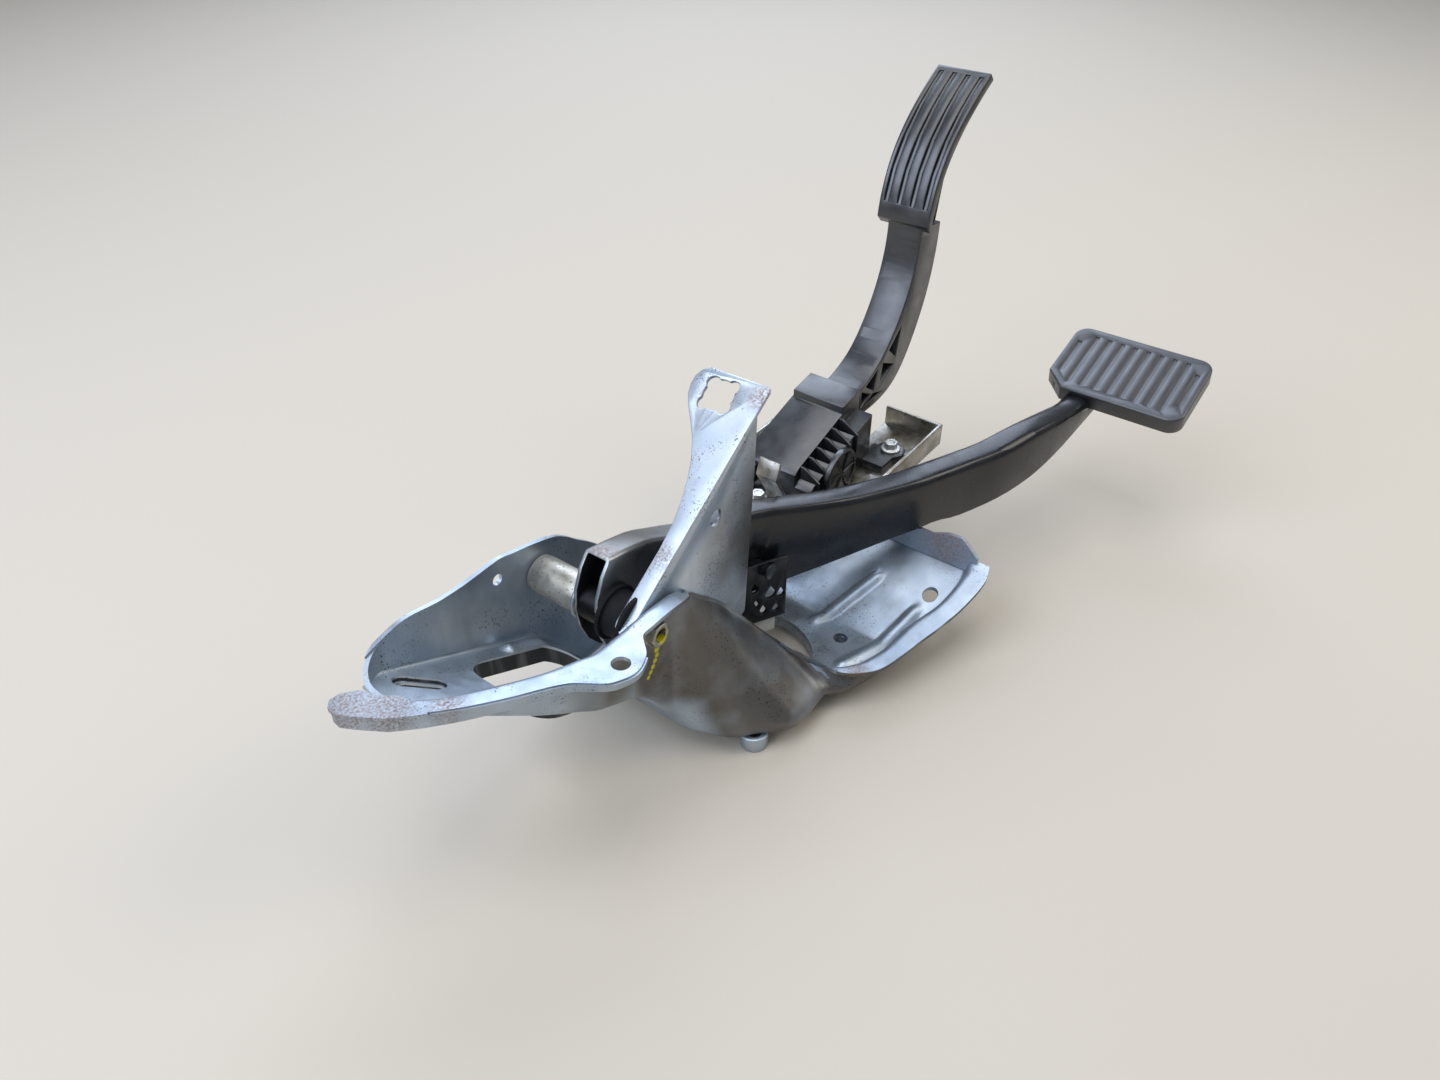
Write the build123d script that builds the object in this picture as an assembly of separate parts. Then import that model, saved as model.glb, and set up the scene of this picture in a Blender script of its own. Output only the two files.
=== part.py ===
from build123d import *
import os
from math import atan2, cos, pi, radians, sin, tan

# Car pedal box lying on its firewall face. The origin is the centre of the four mounting bosses, on the
# face they bolt against. +Z points into the cabin, +X towards the pads, and Y runs along the pedal pivot.

# Driving sizes, in millimetres
SHEET = 2.5
BASE_BEND_R = 5.5
BEND_STEPS = 3
FLANGE_MIN = 3.0
FLANGE_FULL = 9.0
RUN_GAP = 0.3
SEAT_GAP = 0.1
TURN_GAP = 0.05

STUD_X = 94.0
STUD_Y = 78.0
STUD_HOLE_R = 4.5
BOSS_R = 8.0
BOSS_H = 10.0
OPENING_R = 41.0

PIVOT_X = -90.0
PIVOT_Z = 100.0
NEAR_WALL_Y = -2.0
FAR_WALL_Y = 77.5
PIVOT_BOLT_R = 4.0
PIVOT_NUT_AF = 13.0
SLEEVE_R = 7.0
HUB_R = 11.0
HUB_WALL = 1.8
BUSH_FLANGE = 2.0
BUSH_L = 15.0

STRUT_SLOPE = 34.8
STRUT_TOP_X = 15.0
EAR_HOLE_R = 9.5
SLOT_L = 25.0
SLOT_R = 5.2
SLOT_TURN = -40.0
FLANGE_HOLE_R = 5.0
PAN_HOLE_R = 5.0

ARM_SHEET = 2.5
ARM_BEND_R = 5.0
ROOT_HALF = 8.5
ARM_HALF = ROOT_HALF + SEAT_GAP + ARM_SHEET
PIN_R = 4.0
PIN_X = 14.5
PIN_Z = 72.0
PIN_SPARE = 12.8
PIN_HEAD = 1.6
PIN_HEAD_R = 5.0
FORK_TURN = -27.0
FORK_GAP = 31.0
FORK_SHEET = 2.0
FORK_FOOT_Z = 31.0

PAD_W = 98.0
PAD_D = 66.0
PAD_T = 12.0
PAD_TILT = 15.0
PAD_X = 304.0
PAD_Y = -106.5
PAD_Z = 110.0
PAD_CORNER = 10.0
PAD_PLATE_T = 3.0
PAD_GROOVES = 10

TRAY_Z = 64.0
TRAY_WALL = 16.0
TRAY_X0 = 58.0
TRAY_X1 = 211.0
TRAY_NEAR_Y = -16.0
TRAY_FAR_Y = 84.0

ACC_X = 112.0
ACC_Z = 85.0
ACC_SHAFT_R = 4.0
ACC_HUB_R = 12.0
HOUSE_X0 = 84.0
HOUSE_X1 = 158.0
HOUSE_Y0 = 12.0
HOUSE_Y1 = 64.0
HOUSE_WALL = 2.5
HOUSE_STEP_Y = 24.0
HOUSE_STEP_Z = 9.0
ACC_ARM_Y0 = 32.0
ACC_ARM_Y1 = 58.0
ACC_PAD_Y0 = 27.0
ACC_PAD_Y1 = 66.0
ACC_PAD_T = 7.0
COVER_R = 17.0
EAR_T = 6.0
EAR_R = 10.0
TRAY_BOLT_R = 3.0
LIMITER_WALL = 1.2
SPRING_WIRE = 0.8


def block(x0, x1, y0, y1, z0, z1):
    """A box between two corners."""
    centre = Pos((x0 + x1) / 2, (y0 + y1) / 2, (z0 + z1) / 2)
    return centre * Box(x1 - x0, y1 - y0, z1 - z0)


def rod_y(x, z, r, y0, y1):
    """A cylinder along Y."""
    return Pos(x, (y0 + y1) / 2, z) * Rot(90, 0, 0) * Cylinder(r, y1 - y0)


def rod_z(x, y, r, z0, z1):
    """A cylinder along Z."""
    return Pos(x, y, (z0 + z1) / 2) * Cylinder(r, z1 - z0)


def hex_y(x, z, across_flats, y0, y1):
    """A hexagon along Y."""
    body = extrude(RegularPolygon(across_flats / 2, 6, major_radius=False), y1 - y0)
    return Pos(x, y1, z) * Rot(90, 0, 0) * body


def hex_z(x, y, across_flats, z0, z1):
    """A hexagon along Z."""
    body = extrude(RegularPolygon(across_flats / 2, 6, major_radius=False), z1 - z0)
    return Pos(x, y, z0) * body


def side_plate(points, y0, y1):
    """A side view, points in X and Z, pulled from y0 to y1."""
    outline = make_face(Polyline(*[(x, y0, z) for x, z in points], close=True))
    return extrude(outline, y1 - y0, dir=(0, 1, 0))


def plan_plate(points, z0, z1):
    """A plan view, points in X and Y, pulled from z0 to z1."""
    outline = make_face(Polyline(*[(x, y, z0) for x, y in points], close=True))
    return extrude(outline, z1 - z0, dir=(0, 0, 1))


def curve(points):
    """A smooth line through points."""
    return Spline(*[Vector(*point) for point in points])


def between(stations, x):
    """The values of a station list at x, straight between its neighbours."""
    low, high = stations[0], stations[-1]
    for first, second in zip(stations, stations[1:]):
        if first[0] <= x <= second[0]:
            low, high = first, second
    share = (x - low[0]) / (high[0] - low[0])
    return [a + (b - a) * share for a, b in zip(low, high)]


def eased(stations, steps):
    """The stations with more between them, on curves that don't pass their neighbours' values."""
    gaps = [b[0] - a[0] for a, b in zip(stations, stations[1:])]
    slopes = []
    for column in range(1, len(stations[0])):
        rates = [(b[column] - a[column]) / gap for a, b, gap in zip(stations, stations[1:], gaps)]
        inner = [2 * p * q / (p + q) if p * q > 0 else 0 for p, q in zip(rates, rates[1:])]
        slopes.append([rates[0]] + inner + [rates[-1]])
    dense = []
    for index, (first, second, gap) in enumerate(zip(stations, stations[1:], gaps)):
        for step in range(steps):
            t = step / steps
            row = [first[0] + gap * t]
            for column, slope in enumerate(slopes, 1):
                a, b = first[column], second[column]
                start, end = slope[index] * gap, slope[index + 1] * gap
                row.append(a + start * t + (3 * (b - a) - 2 * start - end) * t ** 2
                           + (start + end - 2 * (b - a)) * t ** 3)
            dense.append(tuple(row))
    return dense + [stations[-1]]


def skin(sections):
    """A body through a row of closed outlines with as many points each, in flat triangles."""
    faces = [make_face(Polyline(*points, close=True)) for points in (sections[0], sections[-1])]
    for first, second in zip(sections, sections[1:]):
        for index, start in enumerate(first):
            after = (index + 1) % len(first)
            corners = (start, first[after], second[after], second[index])
            faces.append(Face(Wire(Polyline(corners[0], corners[1], corners[2], close=True))))
            faces.append(Face(Wire(Polyline(corners[0], corners[2], corners[3], close=True))))
    return Solid(Shell([face for part in faces for face in part.faces()]))


# Base stamping. Each station is x, flange edge y, near wall top y, near wall top z, near wall foot y,
# floor underside z, far wall y, far wall top z.
BASE = eased([
    (-213, 30, 44, 122, 44, 112.5, FAR_WALL_Y, 121),
    (-198, 18, 31, 121, 31, 105.4, FAR_WALL_Y, 126),
    (-180, 6.5, 20, 119.5, 20, 96.6, FAR_WALL_Y, 129.5),
    (-156, -8, 7, 118, 7, 84.8, FAR_WALL_Y, 126),
    (-142, -24, 2, 117, 2, 78, FAR_WALL_Y, 125.5),
    (-130, -28, NEAR_WALL_Y, 116.5, NEAR_WALL_Y, 72, FAR_WALL_Y, 126),
    (-118, -24, NEAR_WALL_Y, 116, NEAR_WALL_Y, 66, FAR_WALL_Y, 126.5),
    (-106, -13, NEAR_WALL_Y, 116, NEAR_WALL_Y, 60, FAR_WALL_Y, 124),
    (-92, -13, NEAR_WALL_Y, 116, NEAR_WALL_Y, 48, FAR_WALL_Y, 121),
    (-76, -13, NEAR_WALL_Y, 115, -4, 24, FAR_WALL_Y, 116),
    (-68, -11, NEAR_WALL_Y, 112, -16, 10, FAR_WALL_Y, 111),
    (-60, -6, NEAR_WALL_Y, 106, -36, 10, FAR_WALL_Y, 104),
    (-50, -4, NEAR_WALL_Y, 97, -46, 10, FAR_WALL_Y, 96),
    (-31, -3.5, NEAR_WALL_Y, 79, -63.5, 10, FAR_WALL_Y, 78),
    (-7, -15.5, -14, 47, -67, 10, FAR_WALL_Y, 56),
    (3, -42, -36, 32, -69, 10, 76, 50),
    (8, -63, -52.5, 27, -70.5, 10, 75, 48),
    (14, -73, -60.5, 27.5, -71.5, 10, 74, 46),
    (24, -82, -68.5, 29, -74, 10, 72, 44),
    (42, -87.5, -74.5, 31, -76.5, 10, 68, 43),
    (57, -91, -76, 32.7, -77.5, 10, 64, 43.5),
    (68, -94.5, -79, 35, -80, 15.5, 60, 44.5),
    (90, -100.5, -87, 41, -87.5, 28.5, 48, 48),
    (110, -103.5, -90, 48.5, -89.5, 37.8, 34, 56),
    (120, -101, -88, 52.5, -87.5, 41.7, 25, 62),
], 2)


def bent_sheet(x, line, radius, sheet):
    """A cut outline at x of sheet that follows a line in Y and Z, with its corners rounded."""
    track = [Vector(*line[0])]
    for before, corner, after in zip(line, line[1:], line[2:]):
        corner = Vector(*corner)
        way_in, way_out = Vector(*before) - corner, Vector(*after) - corner
        turn = pi - radians(way_in.get_angle(way_out))
        run = min(max(radius * tan(turn / 2), 0.5), 0.45 * way_in.length, 0.45 * way_out.length)
        start, end = corner + way_in.normalized() * run, corner + way_out.normalized() * run
        for step in range(BEND_STEPS + 1):
            t = step / BEND_STEPS
            track.append(start * (1 - t) ** 2 + corner * 2 * t * (1 - t) + end * t ** 2)
    track.append(Vector(*line[-1]))
    left, right = [], []
    for index, spot in enumerate(track):
        ahead = track[min(index + 1, len(track) - 1)] - spot
        behind = spot - track[max(index - 1, 0)]
        along = (ahead.normalized() if ahead.length else Vector(0, 0)) + \
                (behind.normalized() if behind.length else Vector(0, 0))
        half = sheet / along.length if ahead.length and behind.length else sheet / 2
        side = Vector(-along.Y, along.X).normalized() * half
        left.append(spot + side)
        right.append(spot - side)
    return [(x, spot.X, spot.Y) for spot in left + right[::-1]]


def base_section(station):
    """The channel's cut outline at one station."""
    x, flange, wall, top, foot, under, far, far_top = station
    half = SHEET / 2
    reach = max(wall - flange, FLANGE_MIN)
    unfolded = max(0, min(1, (FLANGE_FULL - reach) / (FLANGE_FULL - FLANGE_MIN)))
    lift = min(atan2(top - under, foot - wall), pi / 2) * unfolded
    fold = (wall + half, top - half - (reach - half) * sin(lift))
    line = [(fold[0] - reach * cos(lift), fold[1] + reach * sin(lift)), fold, (foot + half, under + half)]
    line += [(far + half, under + half), (far + half, far_top)]
    return bent_sheet(x, line, BASE_BEND_R, SHEET)


def floor_top(x):
    """Height of the floor's upper face."""
    return between(BASE, x)[5] + SHEET


END_CORNER_R = 18.0
SLOT_X = -189.0
SLOT_Y = 62.0
CUTOUT = (-160.0, -94.0, 10.0, 66.0)
CUTOUT_R = 12.0
CUTOUT_LIP = 12.0
LIP_NEAR = 3.5
LIP_FAR_SHARE = 22.0
FLANGE_HOLE = (-130.0, -17.0)
WALL_HOLE = (-120.0, 114.5)
PAN_HOLE = (95.0, -74.0)
END_WALL = [
    (-92, 44), (-92, 56), (-80, 67), (-70, 66), (-60, 61.5), (-20, 61.5), (0, 63.5), (27.5, 62), (27.5, 44),
]
TIP_OUTER = [(-210, 27.6), (-213, 30), (-224, 41), (-232, 54), (-235.6, 61), (-235, 66.5)]
TIP_INNER = [(-231.5, 70), (-226, 69.5), (-219, 64), (-216, 54), (-210, 46)]
HEM_DEPTH = 9.0
HEM_FADE = 0.06
HEM_T = 2.2
HEM_END_X = -118.0
PAN_BEADS = [((22, -54), (84, -70)), ((40, -22), (96, -31))]
BEAD_R = 3.5


def rounded_prism(x0, x1, y0, y1, r, z0, z1):
    """A block with rounded upright corners."""
    width, depth = x1 - x0, y1 - y0
    body = extrude(RectangleRounded(width, depth, r), z1 - z0)
    return Pos((x0 + x1) / 2, (y0 + y1) / 2, z0) * body


def floor_bead(start, end):
    """A raised half-round rib pressed up from the floor between two plan points."""
    sunk = BEAD_R - SHEET + 0.9
    foot = Vector(*start, floor_top(start[0]) - sunk)
    tip = Vector(*end, floor_top(end[0]) - sunk)
    run = Plane(origin=foot, z_dir=tip - foot)
    bar = extrude(run * Circle(BEAD_R), (tip - foot).length)
    return bar + Pos(foot) * Sphere(BEAD_R) + Pos(tip) * Sphere(BEAD_R)


def base_bracket():
    """The main stamping: floor, walls, flanged edges and openings."""
    channel = skin([base_section(station) for station in BASE])
    corner_x, corner_y = BASE[0][0] + END_CORNER_R, FAR_WALL_Y - END_CORNER_R
    outer_r = END_CORNER_R + SHEET
    waste = block(BASE[0][0] - 1, corner_x, corner_y, FAR_WALL_Y + 4, 90, 140)
    channel -= waste - rod_z(corner_x, corner_y, outer_r, 80, 150)
    ring = rod_z(corner_x, corner_y, outer_r, 95, 130) - rod_z(corner_x, corner_y, END_CORNER_R, 94, 131)
    x0, x1 = corner_x - outer_r, corner_x + 1
    low0, low1 = floor_top(BASE[0][0]) - SHEET + 1.2, floor_top(corner_x) - SHEET
    ring &= side_plate([(x0, low0), (x1, low1), (x1, 127), (x0, 119)], corner_y, FAR_WALL_Y + 4)
    tip_top = BASE[0][3]
    tip = plan_plate(TIP_OUTER + TIP_INNER, tip_top - SHEET, tip_top)
    rim = [(x + 1.9, y + 1.6) for x, y in TIP_OUTER]
    tip += plan_plate(TIP_OUTER + rim[::-1], tip_top - HEM_DEPTH, tip_top)
    sections = []
    for x, flange, wall, top, *rest in BASE:
        low, high = top - HEM_DEPTH + (x - BASE[0][0]) * HEM_FADE, top - 0.6
        if x <= HEM_END_X:
            inner = flange + HEM_T
            sections.append([(x, flange, low), (x, inner, low), (x, inner, high), (x, flange, high)])
    tip += skin(sections)
    end_face = make_face(Polyline(*[(120 - SHEET, y, z) for y, z in END_WALL], close=True))
    end_wall = extrude(end_face, SHEET, dir=(1, 0, 0))
    body = channel + ring + tip + end_wall

    for start, end in PAN_BEADS:
        reach = floor_bead(start, end)
        body += reach & block(0, 117, -90, 0, floor_top(start[0]) - 1, 60)

    x0, x1, y0, y1 = CUTOUT
    body -= rounded_prism(x0, x1, y0, y1, CUTOUT_R, 0, 140)
    lip = rounded_prism(x0 - SHEET, x1 + SHEET, y0 - SHEET, y1 + SHEET, CUTOUT_R + SHEET, 0, 140)
    lip -= rounded_prism(x0, x1, y0, y1, CUTOUT_R, -1, 141)
    edge = [(x0 - SHEET, floor_top(x0 - SHEET) - 1), (x1 + SHEET, floor_top(x1 + SHEET) - 1)]
    for depth, start in ((LIP_NEAR, y0 - SHEET), (CUTOUT_LIP, y1 - LIP_FAR_SHARE)):
        band = edge + [(x, z - depth) for x, z in reversed(edge)]
        body += lip & side_plate(band, start, y1 + SHEET)

    body -= rod_z(0, 0, OPENING_R, 5, 16)
    ring_lip = rod_z(0, 0, OPENING_R + SHEET, 4, 12) - rod_z(0, 0, OPENING_R, 3, 13)
    body += ring_lip
    for x, y in boss_places():
        body -= rod_z(x, y, STUD_HOLE_R, 0, 20)
    body -= Pos(SLOT_X, SLOT_Y, 60) * Rot(0, 0, SLOT_TURN) * extrude(SlotOverall(SLOT_L, 2 * SLOT_R), 80)
    body -= rod_z(*FLANGE_HOLE, FLANGE_HOLE_R, 100, 130)
    body -= rod_z(*PAN_HOLE, PAN_HOLE_R, 20, 60)
    body -= rod_y(*WALL_HOLE, 3.3, FAR_WALL_Y - 2, FAR_WALL_Y + 6)
    body -= rod_y(PIVOT_X, PIVOT_Z, PIVOT_BOLT_R + RUN_GAP, -20, FAR_WALL_Y + 6)
    return body


def boss_places():
    """Plan places of the four mounting bosses."""
    return [(sx * STUD_X / 2, sy * STUD_Y / 2) for sx in (-1, 1) for sy in (-1, 1)]


def mount_bosses():
    """Welded spacer bosses under the floor, with the booster stud holes."""
    bosses = [rod_z(x, y, BOSS_R, 0, BOSS_H) - rod_z(x, y, STUD_HOLE_R, -1, BOSS_H + 1)
              for x, y in boss_places()]
    return Compound(bosses)


def floor_doubler():
    """A stiffening plate under the slotted end of the floor."""
    x0, x1 = SLOT_X - 22, SLOT_X + 24
    low0, low1 = floor_top(x0) - SHEET - 0.6, floor_top(x1) - SHEET - 0.6
    plate = side_plate([(x0, low0), (x1, low1), (x1, low1 - SHEET), (x0, low0 - SHEET)], 48, 76)
    hole = extrude(SlotOverall(SLOT_L - 3, 2 * SLOT_R - 2), 80)
    return plate - Pos(SLOT_X, SLOT_Y, 60) * Rot(0, 0, SLOT_TURN) * hole


# Upright strut
WEB_Y = NEAR_WALL_Y + SHEET + TURN_GAP
WEB_FOLD_X = -107.0
WEB_FOLD_Z = 105.0
WEB_HOLE = (-30.7, 136.0)
WEB_HOLE_R = 5.0


def fold_z(x):
    """Height of the strut's fold line."""
    return WEB_FOLD_Z + (x - WEB_FOLD_X) * tan(radians(STRUT_SLOPE))


def upright_strut():
    """The strut: a web on the near wall, and a sloped flange that widens into the ear."""
    outline = [(WEB_FOLD_X, WEB_FOLD_Z), (4, fold_z(4)), (6.5, fold_z(6.5)), (5, 150), (2, 110), (-2, 50)]
    outline += [(-10, 46), (-44, 62), (-76, 84), (-107, 88)]
    web = side_plate(outline, WEB_Y, WEB_Y + SHEET)
    slope = radians(STRUT_SLOPE)
    face = Plane(origin=(WEB_FOLD_X, WEB_Y, WEB_FOLD_Z), x_dir=(cos(slope), 0, sin(slope)),
                 z_dir=(-sin(slope), 0, cos(slope)))
    top = (STRUT_TOP_X - WEB_FOLD_X) / cos(slope)
    strip = [(0, 0), (1.2, 7), (3, 9.6), (6, 10.5), (49, 10), (64, 11), (77, 13.4), (89, 16.8), (101, 21.6)]
    strip += [(112, 28), (121, 35), (128, 40.8), (134, 44.6), (139.5, 46.2), (145, 46.2), (149.5, 44.2)]
    strip += [(152.6, 40.4), (top + 4.6, 5), (top + 5, 2.4), (top + 4, 0.8), (top + 2, 0), (top - 14, 0)]
    outline = make_face(Polyline(*[(u, v, 0) for u, v in strip], close=True))
    flange = extrude(face * outline, -SHEET)
    hole_u, hole_v = (7.2 - WEB_FOLD_X) / cos(slope), 27.0
    hole = Pos(hole_u, hole_v) * Circle(EAR_HOLE_R)
    for turn in (50, 140, 230, 320):
        reach = EAR_HOLE_R + 1.5
        spot = Pos(hole_u + reach * cos(radians(turn)) * 0.8, hole_v + reach * sin(radians(turn)) * 0.8)
        hole += spot * Circle(4)
    flange -= extrude(face * hole, -3 * SHEET, both=True)
    body = web + flange
    body -= rod_y(*WEB_HOLE, WEB_HOLE_R, WEB_Y - 2, WEB_Y + 5)
    body -= rod_y(PIVOT_X, PIVOT_Z, PIVOT_BOLT_R + RUN_GAP, WEB_Y - 2, WEB_Y + 5)
    return body


# Pivot stack
STACK_Y0 = WEB_Y + SHEET + TURN_GAP
STACK_Y1 = FAR_WALL_Y - TURN_GAP
HUB_Y0 = STACK_Y0 + RUN_GAP + BUSH_FLANGE
HUB_Y1 = STACK_Y1 - RUN_GAP - BUSH_FLANGE


def pivot_bolt():
    """Through bolt with its head on the far wall."""
    shank = rod_y(PIVOT_X, PIVOT_Z, PIVOT_BOLT_R, NEAR_WALL_Y - 4, FAR_WALL_Y + SHEET + 1)
    seat = FAR_WALL_Y + SHEET
    head = hex_y(PIVOT_X, PIVOT_Z, PIVOT_NUT_AF, seat + 1.5, seat + 7)
    flange = rod_y(PIVOT_X, PIVOT_Z, 9.0, seat, seat + 1.5)
    return shank + head + flange


def pivot_nut():
    """Flanged nut on the near wall."""
    seat = NEAR_WALL_Y - 0.3
    body = hex_y(PIVOT_X, PIVOT_Z, PIVOT_NUT_AF, seat - 6.5, seat - 1.2)
    body += rod_y(PIVOT_X, PIVOT_Z, 8.0, seat - 1.5, seat)
    return body - rod_y(PIVOT_X, PIVOT_Z, PIVOT_BOLT_R + TURN_GAP, seat - 9, seat + 1)


def pivot_sleeve():
    """Fixed steel sleeve that the bolt clamps between the walls."""
    sleeve = rod_y(PIVOT_X, PIVOT_Z, SLEEVE_R, STACK_Y0, STACK_Y1)
    return sleeve - rod_y(PIVOT_X, PIVOT_Z, PIVOT_BOLT_R + RUN_GAP, STACK_Y0 - 1, STACK_Y1 + 1)


def hub_tube():
    """Plated tube welded through the arm, turning on the bushes."""
    tube = rod_y(PIVOT_X, PIVOT_Z, HUB_R, HUB_Y0, HUB_Y1)
    return tube - rod_y(PIVOT_X, PIVOT_Z, HUB_R - HUB_WALL, HUB_Y0 - 1, HUB_Y1 + 1)


def hub_bushes():
    """Two flanged plastic bushes in the ends of the hub tube."""
    bore = rod_y(PIVOT_X, PIVOT_Z, SLEEVE_R + TURN_GAP, HUB_Y0 - 5, HUB_Y1 + 5)
    body_r = HUB_R - HUB_WALL - 0.02
    near = rod_y(PIVOT_X, PIVOT_Z, body_r, HUB_Y0, HUB_Y0 + BUSH_L)
    near += rod_y(PIVOT_X, PIVOT_Z, HUB_R - 0.3, HUB_Y0 - BUSH_FLANGE, HUB_Y0)
    far = rod_y(PIVOT_X, PIVOT_Z, body_r, HUB_Y1 - BUSH_L, HUB_Y1)
    far += rod_y(PIVOT_X, PIVOT_Z, HUB_R - 0.3, HUB_Y1, HUB_Y1 + BUSH_FLANGE)
    return Compound([near - bore, far - bore])


# Brake arm. Each station is x, centre y, half width, top z, bottom z.
ARM = eased([
    (-104, 34.0, ARM_HALF, 139, 58),
    (-60, 34.0, ARM_HALF, 129, 56),
    (-40, 32.6, ARM_HALF, 121, 55),
    (-14, 26.5, ARM_HALF, 112.6, 52),
    (14.5, 17.5, ARM_HALF, 109.5, 50),
    (54, -7, ARM_HALF, 104, 56.5),
    (86, -24, ARM_HALF, 100, 60),
    (114, -39, ARM_HALF, 99.5, 62.8),
    (126, -43.5, ARM_HALF, 99, 62.8),
    (150, -52, 11, 97.5, 58.5),
    (178, -64.5, 11, 98.5, 61),
    (208, -74, 10.5, 101, 65),
    (235, -80, 10, 99.5, 72),
    (262, -84, 9, 97, 79),
    (306, -87, 9, 104, 88),
], 3)
ROOT_END_X = 4.0
ARM_START_X = -14.0


def u_section(x, centre, half, top, bottom, sheet, radius):
    """An upside-down U across the arm."""
    reach = half - sheet / 2
    crown = top - sheet / 2
    near, far = centre - reach, centre + reach
    return bent_sheet(x, [(near, bottom), (near, crown), (far, crown), (far, bottom)], radius, sheet)


def brake_arm_root():
    """Bare channel round the hub tube, nested into the painted arm."""
    inside = ARM_SHEET + SEAT_GAP
    stations = [s for s in ARM if s[0] < ROOT_END_X] + [between(ARM, ROOT_END_X)]
    sections = [u_section(x, centre, ROOT_HALF, top - inside, bottom + 4, ARM_SHEET, ARM_BEND_R - inside)
                for x, centre, half, top, bottom in stations]
    profile = [(-86, 134), (-94, 124), (-99.5, 112), (-101, 99), (-99, 86), (-94, 74), (-86, 64), (-76, 58)]
    profile += [(-3, 40), (ROOT_END_X + 1, 78), (ROOT_END_X + 1, 140)]
    body = skin(sections) & side_plate(profile, 0, 60)
    return body - rod_y(PIVOT_X, PIVOT_Z, HUB_R + TURN_GAP, 0, 60)


def pad_place():
    """The pad's own frame: centre of its tread, tilted back."""
    return Pos(PAD_X, PAD_Y, PAD_Z) * Rot(0, -PAD_TILT, 0)


PLATE_TOP = -6.0
MOUTH_D = PAD_D - 18.0
MOUTH_W = PAD_W - 18.0


def brake_arm():
    """Painted pressed arm from the root channel to the pad plate."""
    stations = [s for s in ARM if s[0] >= ARM_START_X]
    body = skin([u_section(*station, ARM_SHEET, ARM_BEND_R) for station in stations])
    mouth = MOUTH_D / 2 + RUN_GAP
    body -= pad_place() * block(-mouth, PAD_D, -60, 60, PLATE_TOP - PAD_PLATE_T, 60)
    body -= pad_place() * block(-PAD_D / 2 - RUN_GAP, -mouth + 1, -60, 60, -PAD_T - RUN_GAP, 60)
    return body - rod_y(PIN_X, PIN_Z, PIN_R + TURN_GAP, 0, 40)


def pushrod_pin():
    """Pin across the arm for the booster rod's eye, headed at both ends."""
    centre = between(ARM, PIN_X)[1]
    reach = ARM_HALF + PIN_SPARE
    body = rod_y(PIN_X, PIN_Z, PIN_R, centre - reach, centre + reach)
    body += rod_y(PIN_X, PIN_Z, PIN_HEAD_R, centre - reach, centre - reach + PIN_HEAD)
    return body + rod_y(PIN_X, PIN_Z, PIN_HEAD_R, centre + reach - PIN_HEAD, centre + reach)


def fork_place():
    """The rod end's own frame: X along the arm at the pin, Y across it."""
    return Pos(PIN_X, between(ARM, PIN_X)[1], 0) * Rot(0, 0, FORK_TURN)


def pushrod_clevis():
    """Black perforated fork that hangs on the pin outside the arm."""
    outer = FORK_GAP / 2 + FORK_SHEET
    fork = block(-6, 24, -outer, -FORK_GAP / 2, FORK_FOOT_Z, 77)
    fork += block(-20, 8, FORK_GAP / 2, outer, FORK_FOOT_Z, 77)
    fork += block(-6, 10, -outer, outer, FORK_FOOT_Z, FORK_FOOT_Z + FORK_SHEET)
    for x, z, r in ((13, 51, 3.4), (3, 45, 2.2), (20, 49, 2.4), (8, 39, 2.4), (17, 38, 2.2), (2, 58, 2.6)):
        tip = [(x - r * 0.8, z + r * 0.6), (x, z + 2 * r), (x + r * 0.8, z + r * 0.6)]
        fork -= rod_y(x, z, r, -outer - 1, 0) + side_plate(tip, -outer - 1, 0)
    reach = ARM_HALF + PIN_SPARE
    centre = between(ARM, PIN_X)[1]
    return fork_place() * fork - rod_y(PIN_X, PIN_Z, PIN_R + TURN_GAP, centre - reach, centre + reach)


def clevis_clip():
    """White plastic retainer under the rod end."""
    body = block(-4, 18, -FORK_GAP / 2, 8, FORK_FOOT_Z - 12, FORK_FOOT_Z - SEAT_GAP)
    return fork_place() * (body - rod_z(4, 0, 5.0, 0, 40))


def pad_plate():
    """Steel plate under the pad rubber."""
    body = extrude(RectangleRounded(PAD_D - 10, PAD_W - 10, PAD_CORNER - 3), PAD_PLATE_T)
    return pad_place() * Pos(0, 0, PLATE_TOP - PAD_PLATE_T) * body


def brake_pad():
    """Rubber pad that wraps the plate, with cross grooves."""
    rubber = extrude(RectangleRounded(PAD_D, PAD_W, PAD_CORNER), -PAD_T)
    rubber -= Pos(-PAD_D / 2, PAD_W / 2) * Rot(0, 0, 45) * Box(20, 20, 40)
    edges = rubber.faces().sort_by(Axis.Z)[-1].edges()
    rubber = fillet(edges, 1.5)
    room = PAD_PLATE_T + 2 * SEAT_GAP
    pocket = RectangleRounded(PAD_D - 10 + 2 * SEAT_GAP, PAD_W - 10 + 2 * SEAT_GAP, PAD_CORNER - 3)
    rubber -= Pos(0, 0, PLATE_TOP - room + SEAT_GAP) * extrude(pocket, room)
    mouth = RectangleRounded(MOUTH_D + 2 * (RUN_GAP + 0.3), MOUTH_W, PAD_CORNER - 4)
    rubber -= Pos(0, 0, -PAD_T - 1) * extrude(mouth, PAD_T + 1 + PLATE_TOP - PAD_PLATE_T)
    pitch = (PAD_W - 14) / (PAD_GROOVES - 1)
    for index in range(PAD_GROOVES):
        y = (index - (PAD_GROOVES - 1) / 2) * pitch
        length = PAD_D - 14 if 0 < index < PAD_GROOVES - 1 else PAD_D - 32
        rubber -= Pos(0, y, -1.25) * extrude(SlotOverall(length, 3.0), 5)
    return pad_place() * rubber


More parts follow.
